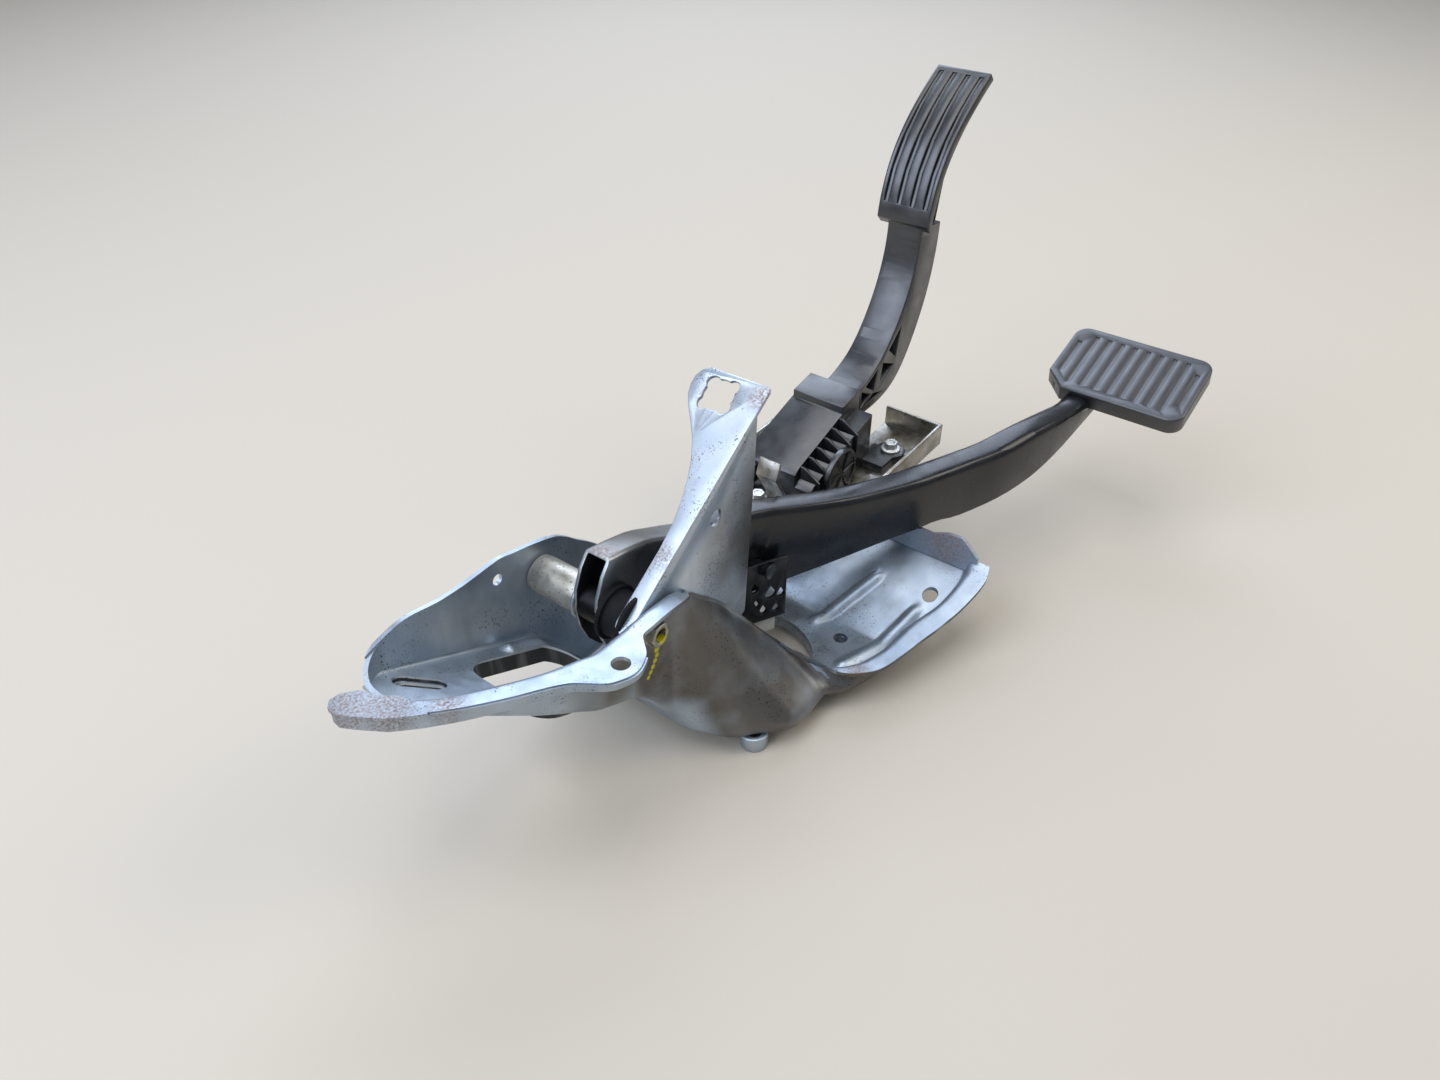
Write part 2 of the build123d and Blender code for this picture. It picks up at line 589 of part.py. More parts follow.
# Accelerator tray
TRAY_TOP = TRAY_Z + SHEET
NOTCH_X = 177.0
NOTCH_Y = 28.0
EAR_PLACES = [(172.0, 3.0), (69.0, 42.0), (140.0, 71.0)]


def accelerator_tray():
    """Steel tray that carries the accelerator, with a leg down to the floor."""
    floor = plan_plate([(TRAY_X0, 12), (104, 12), (122, TRAY_NEAR_Y), (TRAY_X1, TRAY_NEAR_Y),
                        (TRAY_X1, NOTCH_Y), (NOTCH_X, NOTCH_Y), (NOTCH_X, TRAY_FAR_Y), (TRAY_X0, TRAY_FAR_Y)],
                       TRAY_Z, TRAY_TOP)
    top = TRAY_Z + TRAY_WALL
    body = floor + block(122, TRAY_X1, TRAY_NEAR_Y, TRAY_NEAR_Y + SHEET, TRAY_Z, top)
    body += block(TRAY_X1 - SHEET, TRAY_X1, TRAY_NEAR_Y, NOTCH_Y, TRAY_Z, top)
    body += block(TRAY_X0, NOTCH_X, TRAY_FAR_Y - SHEET, TRAY_FAR_Y, TRAY_Z, top)
    foot_z = floor_top(TRAY_X0 + SHEET) + SEAT_GAP
    body += block(TRAY_X0, TRAY_X0 + SHEET, 25, 57, foot_z, TRAY_Z)
    for x, y in EAR_PLACES:
        body -= rod_z(x, y, TRAY_BOLT_R + RUN_GAP, TRAY_Z - 5, TRAY_TOP + 5)
    return body


def locating_tab():
    """Bright formed tab at the tray's end, beside the arm."""
    foot = TRAY_TOP + TURN_GAP
    outline = [(80, foot), (80, foot + 2), (66.5, foot + 2), (65, 80), (62.5, 90), (57, 99), (51.5, 108)]
    outline += [(55, 118), (53.1, 118.8), (49.3, 108.3), (55.2, 98.1), (60.6, 89.3), (63, 79.8), (64.4, foot)]
    return side_plate(outline, 15.5, 30.5)


def tray_bolts():
    """Three flanged bolts through the housing ears."""
    seat = TRAY_TOP + EAR_T
    bolts = []
    for x, y in EAR_PLACES:
        bolt = rod_z(x, y, TRAY_BOLT_R, TRAY_Z - 9, seat + 1) + rod_z(x, y, 6.5, seat, seat + 1.4)
        bolts.append(bolt + hex_z(x, y, 8.0, seat + 1.4, seat + 6) - rod_z(x, y, 2.4, seat + 5, seat + 8))
    return Compound(bolts)


def tray_nuts():
    """Weld nuts under the tray."""
    nuts = [hex_z(x, y, 10.0, TRAY_Z - 6, TRAY_Z) - rod_z(x, y, TRAY_BOLT_R + TURN_GAP, TRAY_Z - 8, TRAY_Z + 1)
            for x, y in EAR_PLACES]
    return Compound(nuts)


def limiter_tubes():
    """Steel tubes in the ears that take the bolt load."""
    inner = TRAY_BOLT_R + RUN_GAP
    tubes = [rod_z(x, y, inner + LIMITER_WALL, TRAY_TOP, TRAY_TOP + EAR_T - SEAT_GAP)
             - rod_z(x, y, inner, TRAY_TOP - 1, TRAY_TOP + EAR_T + 1) for x, y in EAR_PLACES]
    return Compound(tubes)


# Accelerator housing
HOUSE_FLOOR = TRAY_TOP
HOUSE_SIDE = [(HOUSE_X0, HOUSE_FLOOR), (HOUSE_X0, 90), (HOUSE_X0 + 4, 93), (140, 109), (HOUSE_X1, 113),
              (HOUSE_X1, HOUSE_FLOOR)]
SPRING_X = 136.0
SPRING_Y = 45.0
SPRING_SEAT = HOUSE_FLOOR + HOUSE_WALL
SPRING_TOP = 88.6


def shrink(points, inset):
    """A side view pulled in on every edge."""
    face = make_face(Polyline(*[(x, z, 0) for x, z in points], close=True))
    return offset(face, -inset, kind=Kind.INTERSECTION)


def roof_z(x):
    """Height of the housing's roof at x."""
    return between(HOUSE_SIDE[2:5], x)[1]


def house_hollow(side, y0, y1):
    """The room inside a side view's walls."""
    room = extrude(Plane.XZ * shrink(side, HOUSE_WALL), -(y1 - y0 - 2 * HOUSE_WALL))
    return Pos(0, y0 + HOUSE_WALL, 0) * room


def accelerator_housing():
    """Black ribbed shell with a collar round the arm and three mounting ears."""
    low_side = [(x, z - (HOUSE_STEP_Z if z > HOUSE_FLOOR else 0)) for x, z in HOUSE_SIDE]
    body = side_plate(HOUSE_SIDE, HOUSE_STEP_Y, HOUSE_Y1) + side_plate(low_side, HOUSE_Y0, HOUSE_STEP_Y)
    hollow = house_hollow(HOUSE_SIDE, HOUSE_STEP_Y, HOUSE_Y1) + house_hollow(low_side, HOUSE_Y0, HOUSE_Y1)
    body += side_plate([(139, 100), (139, 114), (160, 117.5), (160, 100)], HOUSE_Y0 + 12, HOUSE_Y1 - 1)
    body += block(139, 160, HOUSE_Y0 + 4, HOUSE_Y1 - 1, HOUSE_FLOOR, 100)
    body -= hollow
    body -= block(140, 170, ACC_ARM_Y0 - 2, ACC_ARM_Y1 + 2, SPRING_SEAT, 110.5)
    for x in range(91, 138, 9):
        high, low = roof_z(x), roof_z(x) - HOUSE_STEP_Z
        gusset = [(HOUSE_STEP_Y + 1, high - 0.4), (HOUSE_STEP_Y + 1, low - 1), (HOUSE_Y0 - 2.5, low - 1)]
        gusset += [(HOUSE_Y0 - 2.5, low + 1), (HOUSE_STEP_Y - 3, high - 0.4)]
        rib = make_face(Polyline(*[(x - 0.9, y, z) for y, z in gusset], close=True))
        body += extrude(rib, 1.8, dir=(1, 0, 0))
        body += block(x - 0.9, x + 0.9, HOUSE_Y0 - 2.5, HOUSE_Y0 + 0.2, HOUSE_FLOOR, low)
    for x, y in EAR_PLACES:
        body += rod_z(x, y, EAR_R, HOUSE_FLOOR, HOUSE_FLOOR + EAR_T)
    body += block(150, 172, -3, 16.5, HOUSE_FLOOR, HOUSE_FLOOR + EAR_T)
    body += block(72, 86, 33, 51, HOUSE_FLOOR, HOUSE_FLOOR + EAR_T)
    body += block(132, 148, HOUSE_Y1 - 2, 70, HOUSE_FLOOR, HOUSE_FLOOR + EAR_T)
    for x, y in EAR_PLACES:
        body -= rod_z(x, y, TRAY_BOLT_R + RUN_GAP + LIMITER_WALL + 0.02, HOUSE_FLOOR - 1, HOUSE_FLOOR + 9)
    body -= rod_y(ACC_X, ACC_Z, ACC_SHAFT_R + 0.02, HOUSE_Y0 - 5, HOUSE_Y1 + 5)
    body -= block(HOUSE_X0 - 1, HOUSE_X0 + 3, 56, 61, 78, 84.5)
    return body


def side_cover():
    """Round cover over the sensor end of the shaft."""
    y1 = HOUSE_Y0 - 2.5 - TURN_GAP
    disc = rod_y(ACC_X, ACC_Z - 1, COVER_R, y1 - 4, y1)
    disc -= rod_y(ACC_X, ACC_Z, ACC_SHAFT_R + RUN_GAP, y1 - 2, y1 + 1)
    disc -= rod_y(ACC_X, ACC_Z - 1, COVER_R - 2.5, y1 - 5, y1 - 3)
    for turn in range(0, 360, 60):
        spoke = Rot(0, turn, 0) * Pos(COVER_R / 2, 0, 0) * Box(COVER_R - 3, 1.2, 1.2)
        disc += Pos(ACC_X, y1 - 3.5, ACC_Z - 1) * spoke
    return disc


def accelerator_shaft():
    """Steel shaft across the housing."""
    return rod_y(ACC_X, ACC_Z, ACC_SHAFT_R, HOUSE_Y0 - 2.4, HOUSE_Y1 + 1)


FRONT = [(132, 102), (158, 105), (180, 109.5), (201, 119), (219, 137), (236, 168.5), (241, 200)]
BACK = [(268, 197), (262, 153), (246, 118), (222, 92), (200, 86), (176, 86), (150, 88), (130, 90)]
PAD_FRONT = [(239, 202), (241, 214), (252, 241), (273, 264), (306, 286)]
POCKETS = [
    [(178, 91), (178, 104), (190, 97)], [(183, 106), (198, 113), (194, 98)], [(184, 91), (206, 92), (194, 96)],
    [(202, 97), (205, 115), (220, 108)], [(222, 113), (212, 122), (226, 134)],
]


def accelerator_arm():
    """Moulded arm: hub in the housing, curved beam with triangular pockets, and the grooved pad."""
    front, back = [curve([(x, ACC_ARM_Y0, z) for x, z in points]) for points in (FRONT, BACK)]
    root = [back @ 1, (ACC_X + 8, ACC_ARM_Y0, ACC_Z - 7), (ACC_X - 4, ACC_ARM_Y0, ACC_Z + 9), front @ 0]
    beam = extrude(make_face([front, Line(front @ 1, back @ 0), back, Polyline(*root)]),
                   ACC_ARM_Y1 - ACC_ARM_Y0, dir=(0, 1, 0))
    for pocket in POCKETS:
        beam -= side_plate(pocket, ACC_ARM_Y0 - 1, ACC_ARM_Y0 + 9)
    tread = curve([(x, ACC_PAD_Y0, z) for x, z in PAD_FRONT])
    sole = curve([(x + ACC_PAD_T * 0.75, ACC_PAD_Y0, z - ACC_PAD_T * 0.75) for x, z in reversed(PAD_FRONT)])
    pad = extrude(make_face([tread, Line(tread @ 1, sole @ 0), sole, Line(sole @ 1, tread @ 0)]),
                  ACC_PAD_Y1 - ACC_PAD_Y0, dir=(0, 1, 0))
    spine = [(x + 4, z - 4) for x, z in PAD_FRONT] + [(300, 270), (280, 240), (268, 196), (250, 196)]
    pad += side_plate(spine, ACC_ARM_Y0 + 5, ACC_ARM_Y1 - 5)
    pitch = (ACC_PAD_Y1 - ACC_PAD_Y0) / 4
    for index in range(4):
        y = ACC_PAD_Y0 + (index + 0.5) * pitch
        floor = [Vector(*(tread @ share)) + Vector(1.1, 0, -1.1) for share in (0.1, 0.3, 0.5, 0.7, 0.85, 0.96)]
        roof = [spot + Vector(-5, 0, 5) for spot in reversed(floor)]
        pad -= side_plate([(spot.X, spot.Z) for spot in floor + roof], y - 1.6, y + 1.6)
    hub = rod_y(ACC_X, ACC_Z, ACC_HUB_R, ACC_ARM_Y0, ACC_ARM_Y1)
    body = beam + pad + hub
    return body - rod_y(ACC_X, ACC_Z, ACC_SHAFT_R + 1.5 + 0.02, ACC_ARM_Y0 - 1, ACC_ARM_Y1 + 1)


def arm_bush():
    """Plastic bush between the arm's hub and the shaft."""
    bush = rod_y(ACC_X, ACC_Z, ACC_SHAFT_R + 1.5, ACC_ARM_Y0, ACC_ARM_Y1)
    return bush - rod_y(ACC_X, ACC_Z, ACC_SHAFT_R + TURN_GAP, ACC_ARM_Y0 - 1, ACC_ARM_Y1 + 1)


def magnet_ring():
    """Sensor magnet carried on the near end of the arm's hub."""
    ring = rod_y(ACC_X, ACC_Z, 9.0, ACC_ARM_Y0 - 5, ACC_ARM_Y0)
    return ring - rod_y(ACC_X, ACC_Z, ACC_SHAFT_R + RUN_GAP, ACC_ARM_Y0 - 6, ACC_ARM_Y0 + 1)


def sensor_board():
    """Circuit board beside the magnet, on the near wall."""
    y0 = HOUSE_Y0 + HOUSE_WALL + 0.2
    board = block(ACC_X - 14, ACC_X + 14, y0, y0 + 1.6, ACC_Z - 14, ACC_Z - 1)
    board += block(ACC_X - 8, ACC_X - 5, y0 + 1.6, y0 + 3, ACC_Z - 9, ACC_Z - 3)
    return board - rod_y(ACC_X, ACC_Z, ACC_SHAFT_R + 0.2, y0 - 1, y0 + 4)


SOCKET_Y0 = 55.0
SOCKET_Y1 = 67.0


def connector_shell():
    """Plug socket on the end of the housing."""
    x1 = HOUSE_X0 - TURN_GAP
    shell = block(x1 - 14, x1, SOCKET_Y0 - 2, SOCKET_Y1 + 2, 74.5, 88)
    return shell - block(x1 - 15, x1 - 2, SOCKET_Y0, SOCKET_Y1, 76.5, 86)


def connector_pins():
    """Six blades in the socket, in two rows."""
    x1 = HOUSE_X0 - TURN_GAP - 2
    middle = (SOCKET_Y0 + SOCKET_Y1) / 2
    pins = [block(x1 - 6, x1, middle + dy - 0.5, middle + dy + 0.5, z - 0.35, z + 0.35)
            for dy in (-3.2, 0, 3.2) for z in (79.5, 83.0)]
    return Compound(pins)


def coil(radius, turns):
    """A round-wire compression spring standing on the housing floor."""
    height = SPRING_TOP - SPRING_SEAT - 2 * SPRING_WIRE - 0.4
    path = Helix(height / turns, height, radius)
    start = path @ 0
    wire = Plane(origin=start, z_dir=path % 0) * Circle(SPRING_WIRE)
    return Pos(SPRING_X, SPRING_Y, SPRING_SEAT + SPRING_WIRE + 0.2) * sweep(wire, path)


def return_spring_outer():
    """Outer return spring of the accelerator."""
    return coil(7.5, 4)


def return_spring_inner():
    """Inner return spring of the accelerator."""
    return coil(4.5, 4)


NODES = [
    base_bracket, mount_bosses, floor_doubler, upright_strut, pivot_bolt, pivot_nut, pivot_sleeve, hub_tube,
    hub_bushes, brake_arm_root, brake_arm, pushrod_pin, pushrod_clevis, clevis_clip, pad_plate, brake_pad,
    accelerator_tray, locating_tab, tray_bolts, tray_nuts, limiter_tubes, accelerator_housing, side_cover,
    accelerator_shaft, accelerator_arm, arm_bush, magnet_ring, sensor_board, connector_shell, connector_pins,
    return_spring_outer, return_spring_inner,
]

os.makedirs("parts", exist_ok=True)
for node in NODES:
    export_step(node(), f"parts/{node.__name__}.step")
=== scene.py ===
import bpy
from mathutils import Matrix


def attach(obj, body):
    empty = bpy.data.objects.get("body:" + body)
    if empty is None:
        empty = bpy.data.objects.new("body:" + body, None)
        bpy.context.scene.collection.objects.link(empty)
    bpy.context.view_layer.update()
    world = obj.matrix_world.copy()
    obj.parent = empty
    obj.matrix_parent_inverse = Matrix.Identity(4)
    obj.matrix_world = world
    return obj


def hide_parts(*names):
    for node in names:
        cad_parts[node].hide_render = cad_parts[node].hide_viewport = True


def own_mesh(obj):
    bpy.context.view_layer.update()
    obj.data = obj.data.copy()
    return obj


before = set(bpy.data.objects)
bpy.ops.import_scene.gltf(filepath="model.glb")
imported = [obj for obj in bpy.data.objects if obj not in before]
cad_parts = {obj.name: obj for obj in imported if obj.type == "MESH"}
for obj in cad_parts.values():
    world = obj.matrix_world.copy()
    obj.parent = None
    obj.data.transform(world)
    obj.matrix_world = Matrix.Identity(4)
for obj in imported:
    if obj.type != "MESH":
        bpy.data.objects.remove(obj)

"""Looks of a car pedal box: a bare pressed bracket, a painted brake pedal and a moulded accelerator."""

import logging
import math
from collections.abc import Sequence
from dataclasses import dataclass, replace
from enum import Enum
from typing import NamedTuple

import bmesh
import bpy
from mathutils import Matrix, Vector

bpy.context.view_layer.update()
MM = 0.001
LOG = logging.getLogger("pedal_box")

# Points nearer than this, in metres, are one point: on shapes made here, and on the CAD's loose triangles.
SAME_POINT = 1e-6
SAME_CAD_POINT = 1e-5
# Faces of a copied CAD node that meet at less than this, in degrees, become one.
FLAT_DEG = 0.6
# Edges sharper than this, in degrees, stay sharp: on plain shapes, and on those with rounded edges.
SHARP_DEG = 34.0
ROUNDED_SHARP_DEG = 40.0
# The brake pedal's axis, as x and z in millimetres.
PIVOT = (-90.0, 100.0)
# The yellow paint that marks a checked nut, and how metallic a surface is where paint or rust covers it.
WITNESS_YELLOW = "#c9bd1e"
COATED_METALLIC = 0.1
# Sockets of the Mix node when it mixes colours.
MIX_FACTOR, MIX_A, MIX_B, MIX_OUT = 0, 6, 7, 2

Tree = bpy.types.NodeTree
Node = bpy.types.Node
Socket = bpy.types.NodeSocket
Shape = bmesh.types.BMesh
Piece = bpy.types.Object
Link = Socket | float | tuple[float, ...]
Pair = tuple[float, float]
Triple = tuple[float, float, float]
Outline = Sequence[Pair]


class Body(Enum):
    """The bodies that move."""

    BASE = "base"
    BRAKE = "brake_pedal"
    ROD_END = "rod_end"
    ACCELERATOR = "accelerator_pedal"


def linear(code: str) -> tuple[float, float, float, float]:
    """Turns an sRGB hex colour to linear.

    Args:
        code: Six hex digits after a hash.

    Returns:
        Linear red, green, blue and an alpha of 1.
    """
    parts = [int(code[start:start + 2], 16) / 255 for start in (1, 3, 5)]
    red, green, blue = [part / 12.92 if part <= 0.04045 else ((part + 0.055) / 1.055) ** 2.4
                        for part in parts]
    return red, green, blue, 1.0


def add(tree: Tree, kind: str, links: dict[str | int, Link] | None = None, **settings: object) -> Node:
    """Adds a node, with its settings and what goes into its sockets.

    Args:
        tree: The node tree.
        kind: The node's type.
        links: Sockets by name or number, each with another node's output or a plain value.
        settings: The node's own properties.

    Returns:
        The new node.
    """
    node = tree.nodes.new(kind)
    for name, value in settings.items():
        setattr(node, name, value)
    for socket, value in (links or {}).items():
        if isinstance(value, Socket):
            tree.links.new(value, node.inputs[socket])
        else:
            node.inputs[socket].default_value = value
    return node


@dataclass(frozen=True)
class Mottle:
    """A cloudy pattern: about how large a patch is, the noise from which it starts to count and from which it
    counts in full, and how many octaves the noise has.
    """

    size_mm: float
    low: float
    high: float
    octaves: float = 3.0


@dataclass(frozen=True)
class Zone:
    """A round region of a finish, in millimetres: full inside the inner radius, gone at the outer one."""

    x: float
    y: float
    z: float
    inner: float
    outer: float


def paint(tree: Tree, under: Link, mask: Link, code: str) -> Socket:
    """Lays a colour over another where a mask is 1.

    Args:
        tree: The node tree.
        under: The colour underneath.
        mask: From 0 to 1.
        code: The colour on top, as sRGB hex.

    Returns:
        The mixed colour.
    """
    node = add(tree, "ShaderNodeMix", {MIX_FACTOR: mask, MIX_A: under, MIX_B: linear(code)}, data_type="RGBA")
    return node.outputs[MIX_OUT]


def patches(tree: Tree, place: Link, mottle: Mottle) -> Socket:
    """A mask of cloudy patches.

    Args:
        tree: The node tree.
        place: Coordinates in metres.
        mottle: The patches.

    Returns:
        A value from 0 to 1.
    """
    noise = add(tree, "ShaderNodeTexNoise", {"Vector": place, "Scale": 1 / (mottle.size_mm * MM),
                                             "Detail": mottle.octaves}).outputs[0]
    ramp = add(tree, "ShaderNodeMapRange", {"Value": noise, "From Min": mottle.low, "From Max": mottle.high})
    return ramp.outputs[0]


def times(tree: Tree, *values: Link) -> Socket:
    """Multiplies masks together.

    Args:
        tree: The node tree.
        values: Two or more masks or plain numbers, a mask first.

    Returns:
        Their product.
    """
    product = values[0]
    for value in values[1:]:
        product = add(tree, "ShaderNodeMath", {0: product, 1: value}, operation="MULTIPLY").outputs[0]
    return product


def zones(tree: Tree, place: Link, spots: tuple[Zone, ...]) -> Link:
    """A mask that covers every one of some regions.

    Args:
        tree: The node tree.
        place: Coordinates in metres.
        spots: The regions.

    Returns:
        A value from 0 to 1.
    """
    mask: Link = 0.0
    for spot in spots:
        middle = (spot.x * MM, spot.y * MM, spot.z * MM)
        gap = add(tree, "ShaderNodeVectorMath", {0: place, 1: middle}, operation="DISTANCE").outputs["Value"]
        ramp = add(tree, "ShaderNodeMapRange",
                   {"Value": gap, "From Min": spot.inner * MM, "From Max": spot.outer * MM,
                    "To Min": 1.0, "To Max": 0.0}, interpolation_type="SMOOTHSTEP")
        mask = add(tree, "ShaderNodeMath", {0: mask, 1: ramp.outputs[0]}, operation="MAXIMUM").outputs[0]
    return mask


@dataclass(frozen=True)
class Finish:
    """A finish: what it is called, its plain colour, its shader's plain numbers and its uneven gloss.

    The roughness wanders over the patches of gloss, from glossier below its plain number to duller above it.
    """

    name: str
    colour: str
    metallic: float
    roughness: float
    gloss: Mottle = Mottle(16, 0.3, 0.7)
    glossier: float = 0.06
    duller: float = 0.1
    bump: float = 0.12
    bump_mm: float = 0.15

    def material(self) -> bpy.types.Material:
        """Gives the finish's material, made the first time it is asked for.

        Returns:
            The material.
        """
        found = bpy.data.materials.get(self.name)
        if found:
            return found
        made = bpy.data.materials.new(self.name)
        made.use_nodes = True
        tree = made.node_tree
        shader = tree.nodes["Principled BSDF"]
        shader.inputs["Base Color"].default_value = linear(self.colour)
        shader.inputs["Metallic"].default_value = self.metallic
        shader.inputs["Roughness"].default_value = self.roughness
        place = add(tree, "ShaderNodeTexCoord").outputs["Object"]
        self.dress(tree, shader, place)
        return made

    def uneven(self, tree: Tree, place: Socket) -> Socket:
        """The finish's roughness, uneven in patches.

        Args:
            tree: The material's node tree.
            place: The piece's own coordinates, in metres.

        Returns:
            The roughness.
        """
        ramp = add(tree, "ShaderNodeMapRange",
                   {"Value": patches(tree, place, self.gloss), "To Min": self.roughness - self.glossier,
                    "To Max": self.roughness + self.duller})
        return ramp.outputs[0]

    def join(self, tree: Tree, shader: Node, colour: Socket, rough: Socket, height: Socket) -> None:
        """Joins what has been made to the shader.

        Args:
            tree: The material's node tree.
            shader: Its principled shader.
            colour: The surface's colour.
            rough: Its roughness.
            height: Its relief, which stands bump_mm high where it is 1.
        """
        bump = add(tree, "ShaderNodeBump", {"Height": height, "Strength": self.bump,
                                            "Distance": self.bump_mm * MM})
        for socket, value in (("Base Color", colour), ("Roughness", rough), ("Normal", bump.outputs[0])):
            tree.links.new(value, shader.inputs[socket])

    def dress(self, tree: Tree, shader: Node, place: Socket) -> None:
        """Adds the finish's detail.

        Args:
            tree: The material's node tree.
            shader: Its principled shader.
            place: The piece's own coordinates, in metres.
        """
        raise NotImplementedError


@dataclass(frozen=True)
class BareSheet(Finish):
    """Bare galvanised pressing sheet, drawn in a die.

    The eye sees a soft blue-grey sheen in broad clouds, faint drawing lines, dark pinprick pits that gather
    in patches, brown oil streaks, brown patches in the given zones, which on the near walls are painted
    shade, and dull brown rust where the zinc was sheared.
    The drawing lines run along line_axis, where the pattern's scale is much the smaller.
    """

    gloss: Mottle = Mottle(9, 0.3, 0.7)
    duller: float = 0.08
    cloud: str = "#93a0ad"
    clouds: Mottle = Mottle(42, 0.38, 0.72)
    line: str = "#c5ccd2"
    lines: Mottle = Mottle(3.0, 0.5, 0.75)
    line_share: float = 0.3
    line_axis: int = 2
    line_depth: float = 0.25
    scale_across: float = 0.35
    scale_along: float = 0.03
    pit: str = "#35302c"
    pit_mm: float = 1.1
    pit_share: float = 0.64
    pit_edge: float = 0.05
    pitted: Mottle = Mottle(24, 0.46, 0.62)
    stain_and_shade: str = "#625d55"
    stain_and_shade_zones: tuple[Zone, ...] = ()
    zone_patches: Mottle = Mottle(30, -0.2, 0.55, 5.0)
    zone_patch_share: float = 0.92
    streaks: Mottle = Mottle(5.0, 0.5, 0.75)
    streaked: Mottle = Mottle(60, 0.45, 0.65)
    streak_share: float = 0.4
    rust: str = "#7d5e4d"
    rusted: tuple[Zone, ...] = ()
    rust_edge: Mottle = Mottle(1.3, 0.34, 0.66, 5.0)
    freckles: Mottle = Mottle(2.0, 0.66, 0.74)
    freckled: Mottle = Mottle(40, 0.58, 0.64)
    mark_share: float = 0.85
    witness: tuple[Zone, ...] = ()
    dab: Mottle = Mottle(5, 0.3, 0.45)
    coat_roughness: float = 0.3
    grain_mm: float = 0.5
    bump: float = 0.25

    def dress(self, tree: Tree, shader: Node, place: Socket) -> None:
        """Clouds, drawing lines, oil stains, pits, rust and witness paint.

        Args:
            tree: The material's node tree.
            shader: Its principled shader.
            place: The piece's own coordinates, in metres.
        """
        scale = [self.scale_across] * 3
        scale[self.line_axis] = self.scale_along
        drawn = add(tree, "ShaderNodeMapping", {"Vector": place, "Scale": tuple(scale)}).outputs[0]
        pit = Mottle(self.pit_mm, self.pit_share, self.pit_share + self.pit_edge, 1.0)
        lines = times(tree, patches(tree, drawn, self.lines), self.line_share)
        # Brown patches in the given zones, which on the near walls are painted shade.
        zone_brown = times(tree, zones(tree, place, self.stain_and_shade_zones), patches(tree, place, self.zone_patches), self.zone_patch_share)
        faint = times(tree, patches(tree, drawn, self.streaks), patches(tree, place, self.streaked),
                      self.streak_share)
        streaks_and_shade = add(tree, "ShaderNodeMath", {0: zone_brown, 1: faint}, operation="MAXIMUM").outputs[0]
        pits = times(tree, patches(tree, place, pit), patches(tree, place, self.pitted))
        edge = times(tree, zones(tree, place, self.rusted), patches(tree, place, self.rust_edge))
        freckle = times(tree, patches(tree, place, self.freckles), patches(tree, place, self.freckled))
        rust = add(tree, "ShaderNodeMath", {0: edge, 1: freckle}, operation="MAXIMUM").outputs[0]
        rust = times(tree, rust, self.mark_share)
        dabs = times(tree, zones(tree, place, self.witness), patches(tree, place, self.dab))
        colour = paint(tree, linear(self.colour), patches(tree, place, self.clouds), self.cloud)
        colour = paint(tree, colour, lines, self.line)
        colour = paint(tree, colour, streaks_and_shade, self.stain_and_shade)
        colour = paint(tree, colour, times(tree, pits, self.mark_share), self.pit)
        colour = paint(tree, colour, rust, self.rust)
        colour = paint(tree, colour, dabs, WITNESS_YELLOW)
        coat = add(tree, "ShaderNodeMath", {0: rust, 1: dabs}, operation="MAXIMUM").outputs[0]
        bare = add(tree, "ShaderNodeMapRange", {"Value": coat, "To Min": self.metallic,
                                                "To Max": COATED_METALLIC})
        tree.links.new(bare.outputs[0], shader.inputs["Metallic"])
        rough = add(tree, "ShaderNodeMath", {0: times(tree, coat, self.coat_roughness),
                                             1: self.uneven(tree, place)}, operation="ADD")
        grain = add(tree, "ShaderNodeTexNoise", {"Vector": drawn, "Scale": 1 / (self.grain_mm * MM),
                                                 "Detail": 2.0})
        height = times(tree, grain.outputs[0], self.line_depth)
        sunk = add(tree, "ShaderNodeMath", {0: height, 1: pits}, operation="SUBTRACT")
        self.join(tree, shader, colour, rough.outputs[0], sunk.outputs[0])


@dataclass(frozen=True)
class PlatedSteel(Finish):
    """Zinc plated steel: a satin sheen with cloudy passivate, small dark scuffs and a fine grain."""

    gloss: Mottle = Mottle(5, 0.3, 0.7)
    duller: float = 0.12
    cloud: str = "#8c8a80"
    clouds: Mottle = Mottle(12, 0.4, 0.7)
    scuff: str = "#3c3a35"
    scuff_mm: float = 1.8
    scuff_share: float = 0.66
    scuff_edge: float = 0.08
    scuff_depth: float = 0.7
    painted_shade: str = "#0c0b0a"
    painted_shade_zones: tuple[Zone, ...] = ()
    witness: tuple[Zone, ...] = ()
    dab: Mottle = Mottle(4, 0.3, 0.4)
    grain_mm: float = 0.6
    bump_mm: float = 0.1

    def dress(self, tree: Tree, shader: Node, place: Socket) -> None:
        """Clouds, scuffs, a fine grain, and where asked for black painted shade and witness paint.

        Args:
            tree: The material's node tree.
            shader: Its principled shader.
            place: The piece's own coordinates, in metres.
        """
        colour = paint(tree, linear(self.colour), patches(tree, place, self.clouds), self.cloud)
        scuffs = Mottle(self.scuff_mm, self.scuff_share, self.scuff_share + self.scuff_edge)
        colour = paint(tree, colour, times(tree, patches(tree, place, scuffs), self.scuff_depth), self.scuff)
        # Black painted shade in the given zones.
        colour = paint(tree, colour, zones(tree, place, self.painted_shade_zones), self.painted_shade)
        dabs = times(tree, zones(tree, place, self.witness), patches(tree, place, self.dab))
        colour = paint(tree, colour, dabs, WITNESS_YELLOW)
        bare = add(tree, "ShaderNodeMapRange", {"Value": dabs, "To Min": self.metallic,
                                                "To Max": COATED_METALLIC})
        tree.links.new(bare.outputs[0], shader.inputs["Metallic"])
        grain = add(tree, "ShaderNodeTexNoise", {"Vector": place, "Scale": 1 / (self.grain_mm * MM),
                                                 "Detail": 2.0})
        self.join(tree, shader, colour, self.uneven(tree, place), grain.outputs[0])


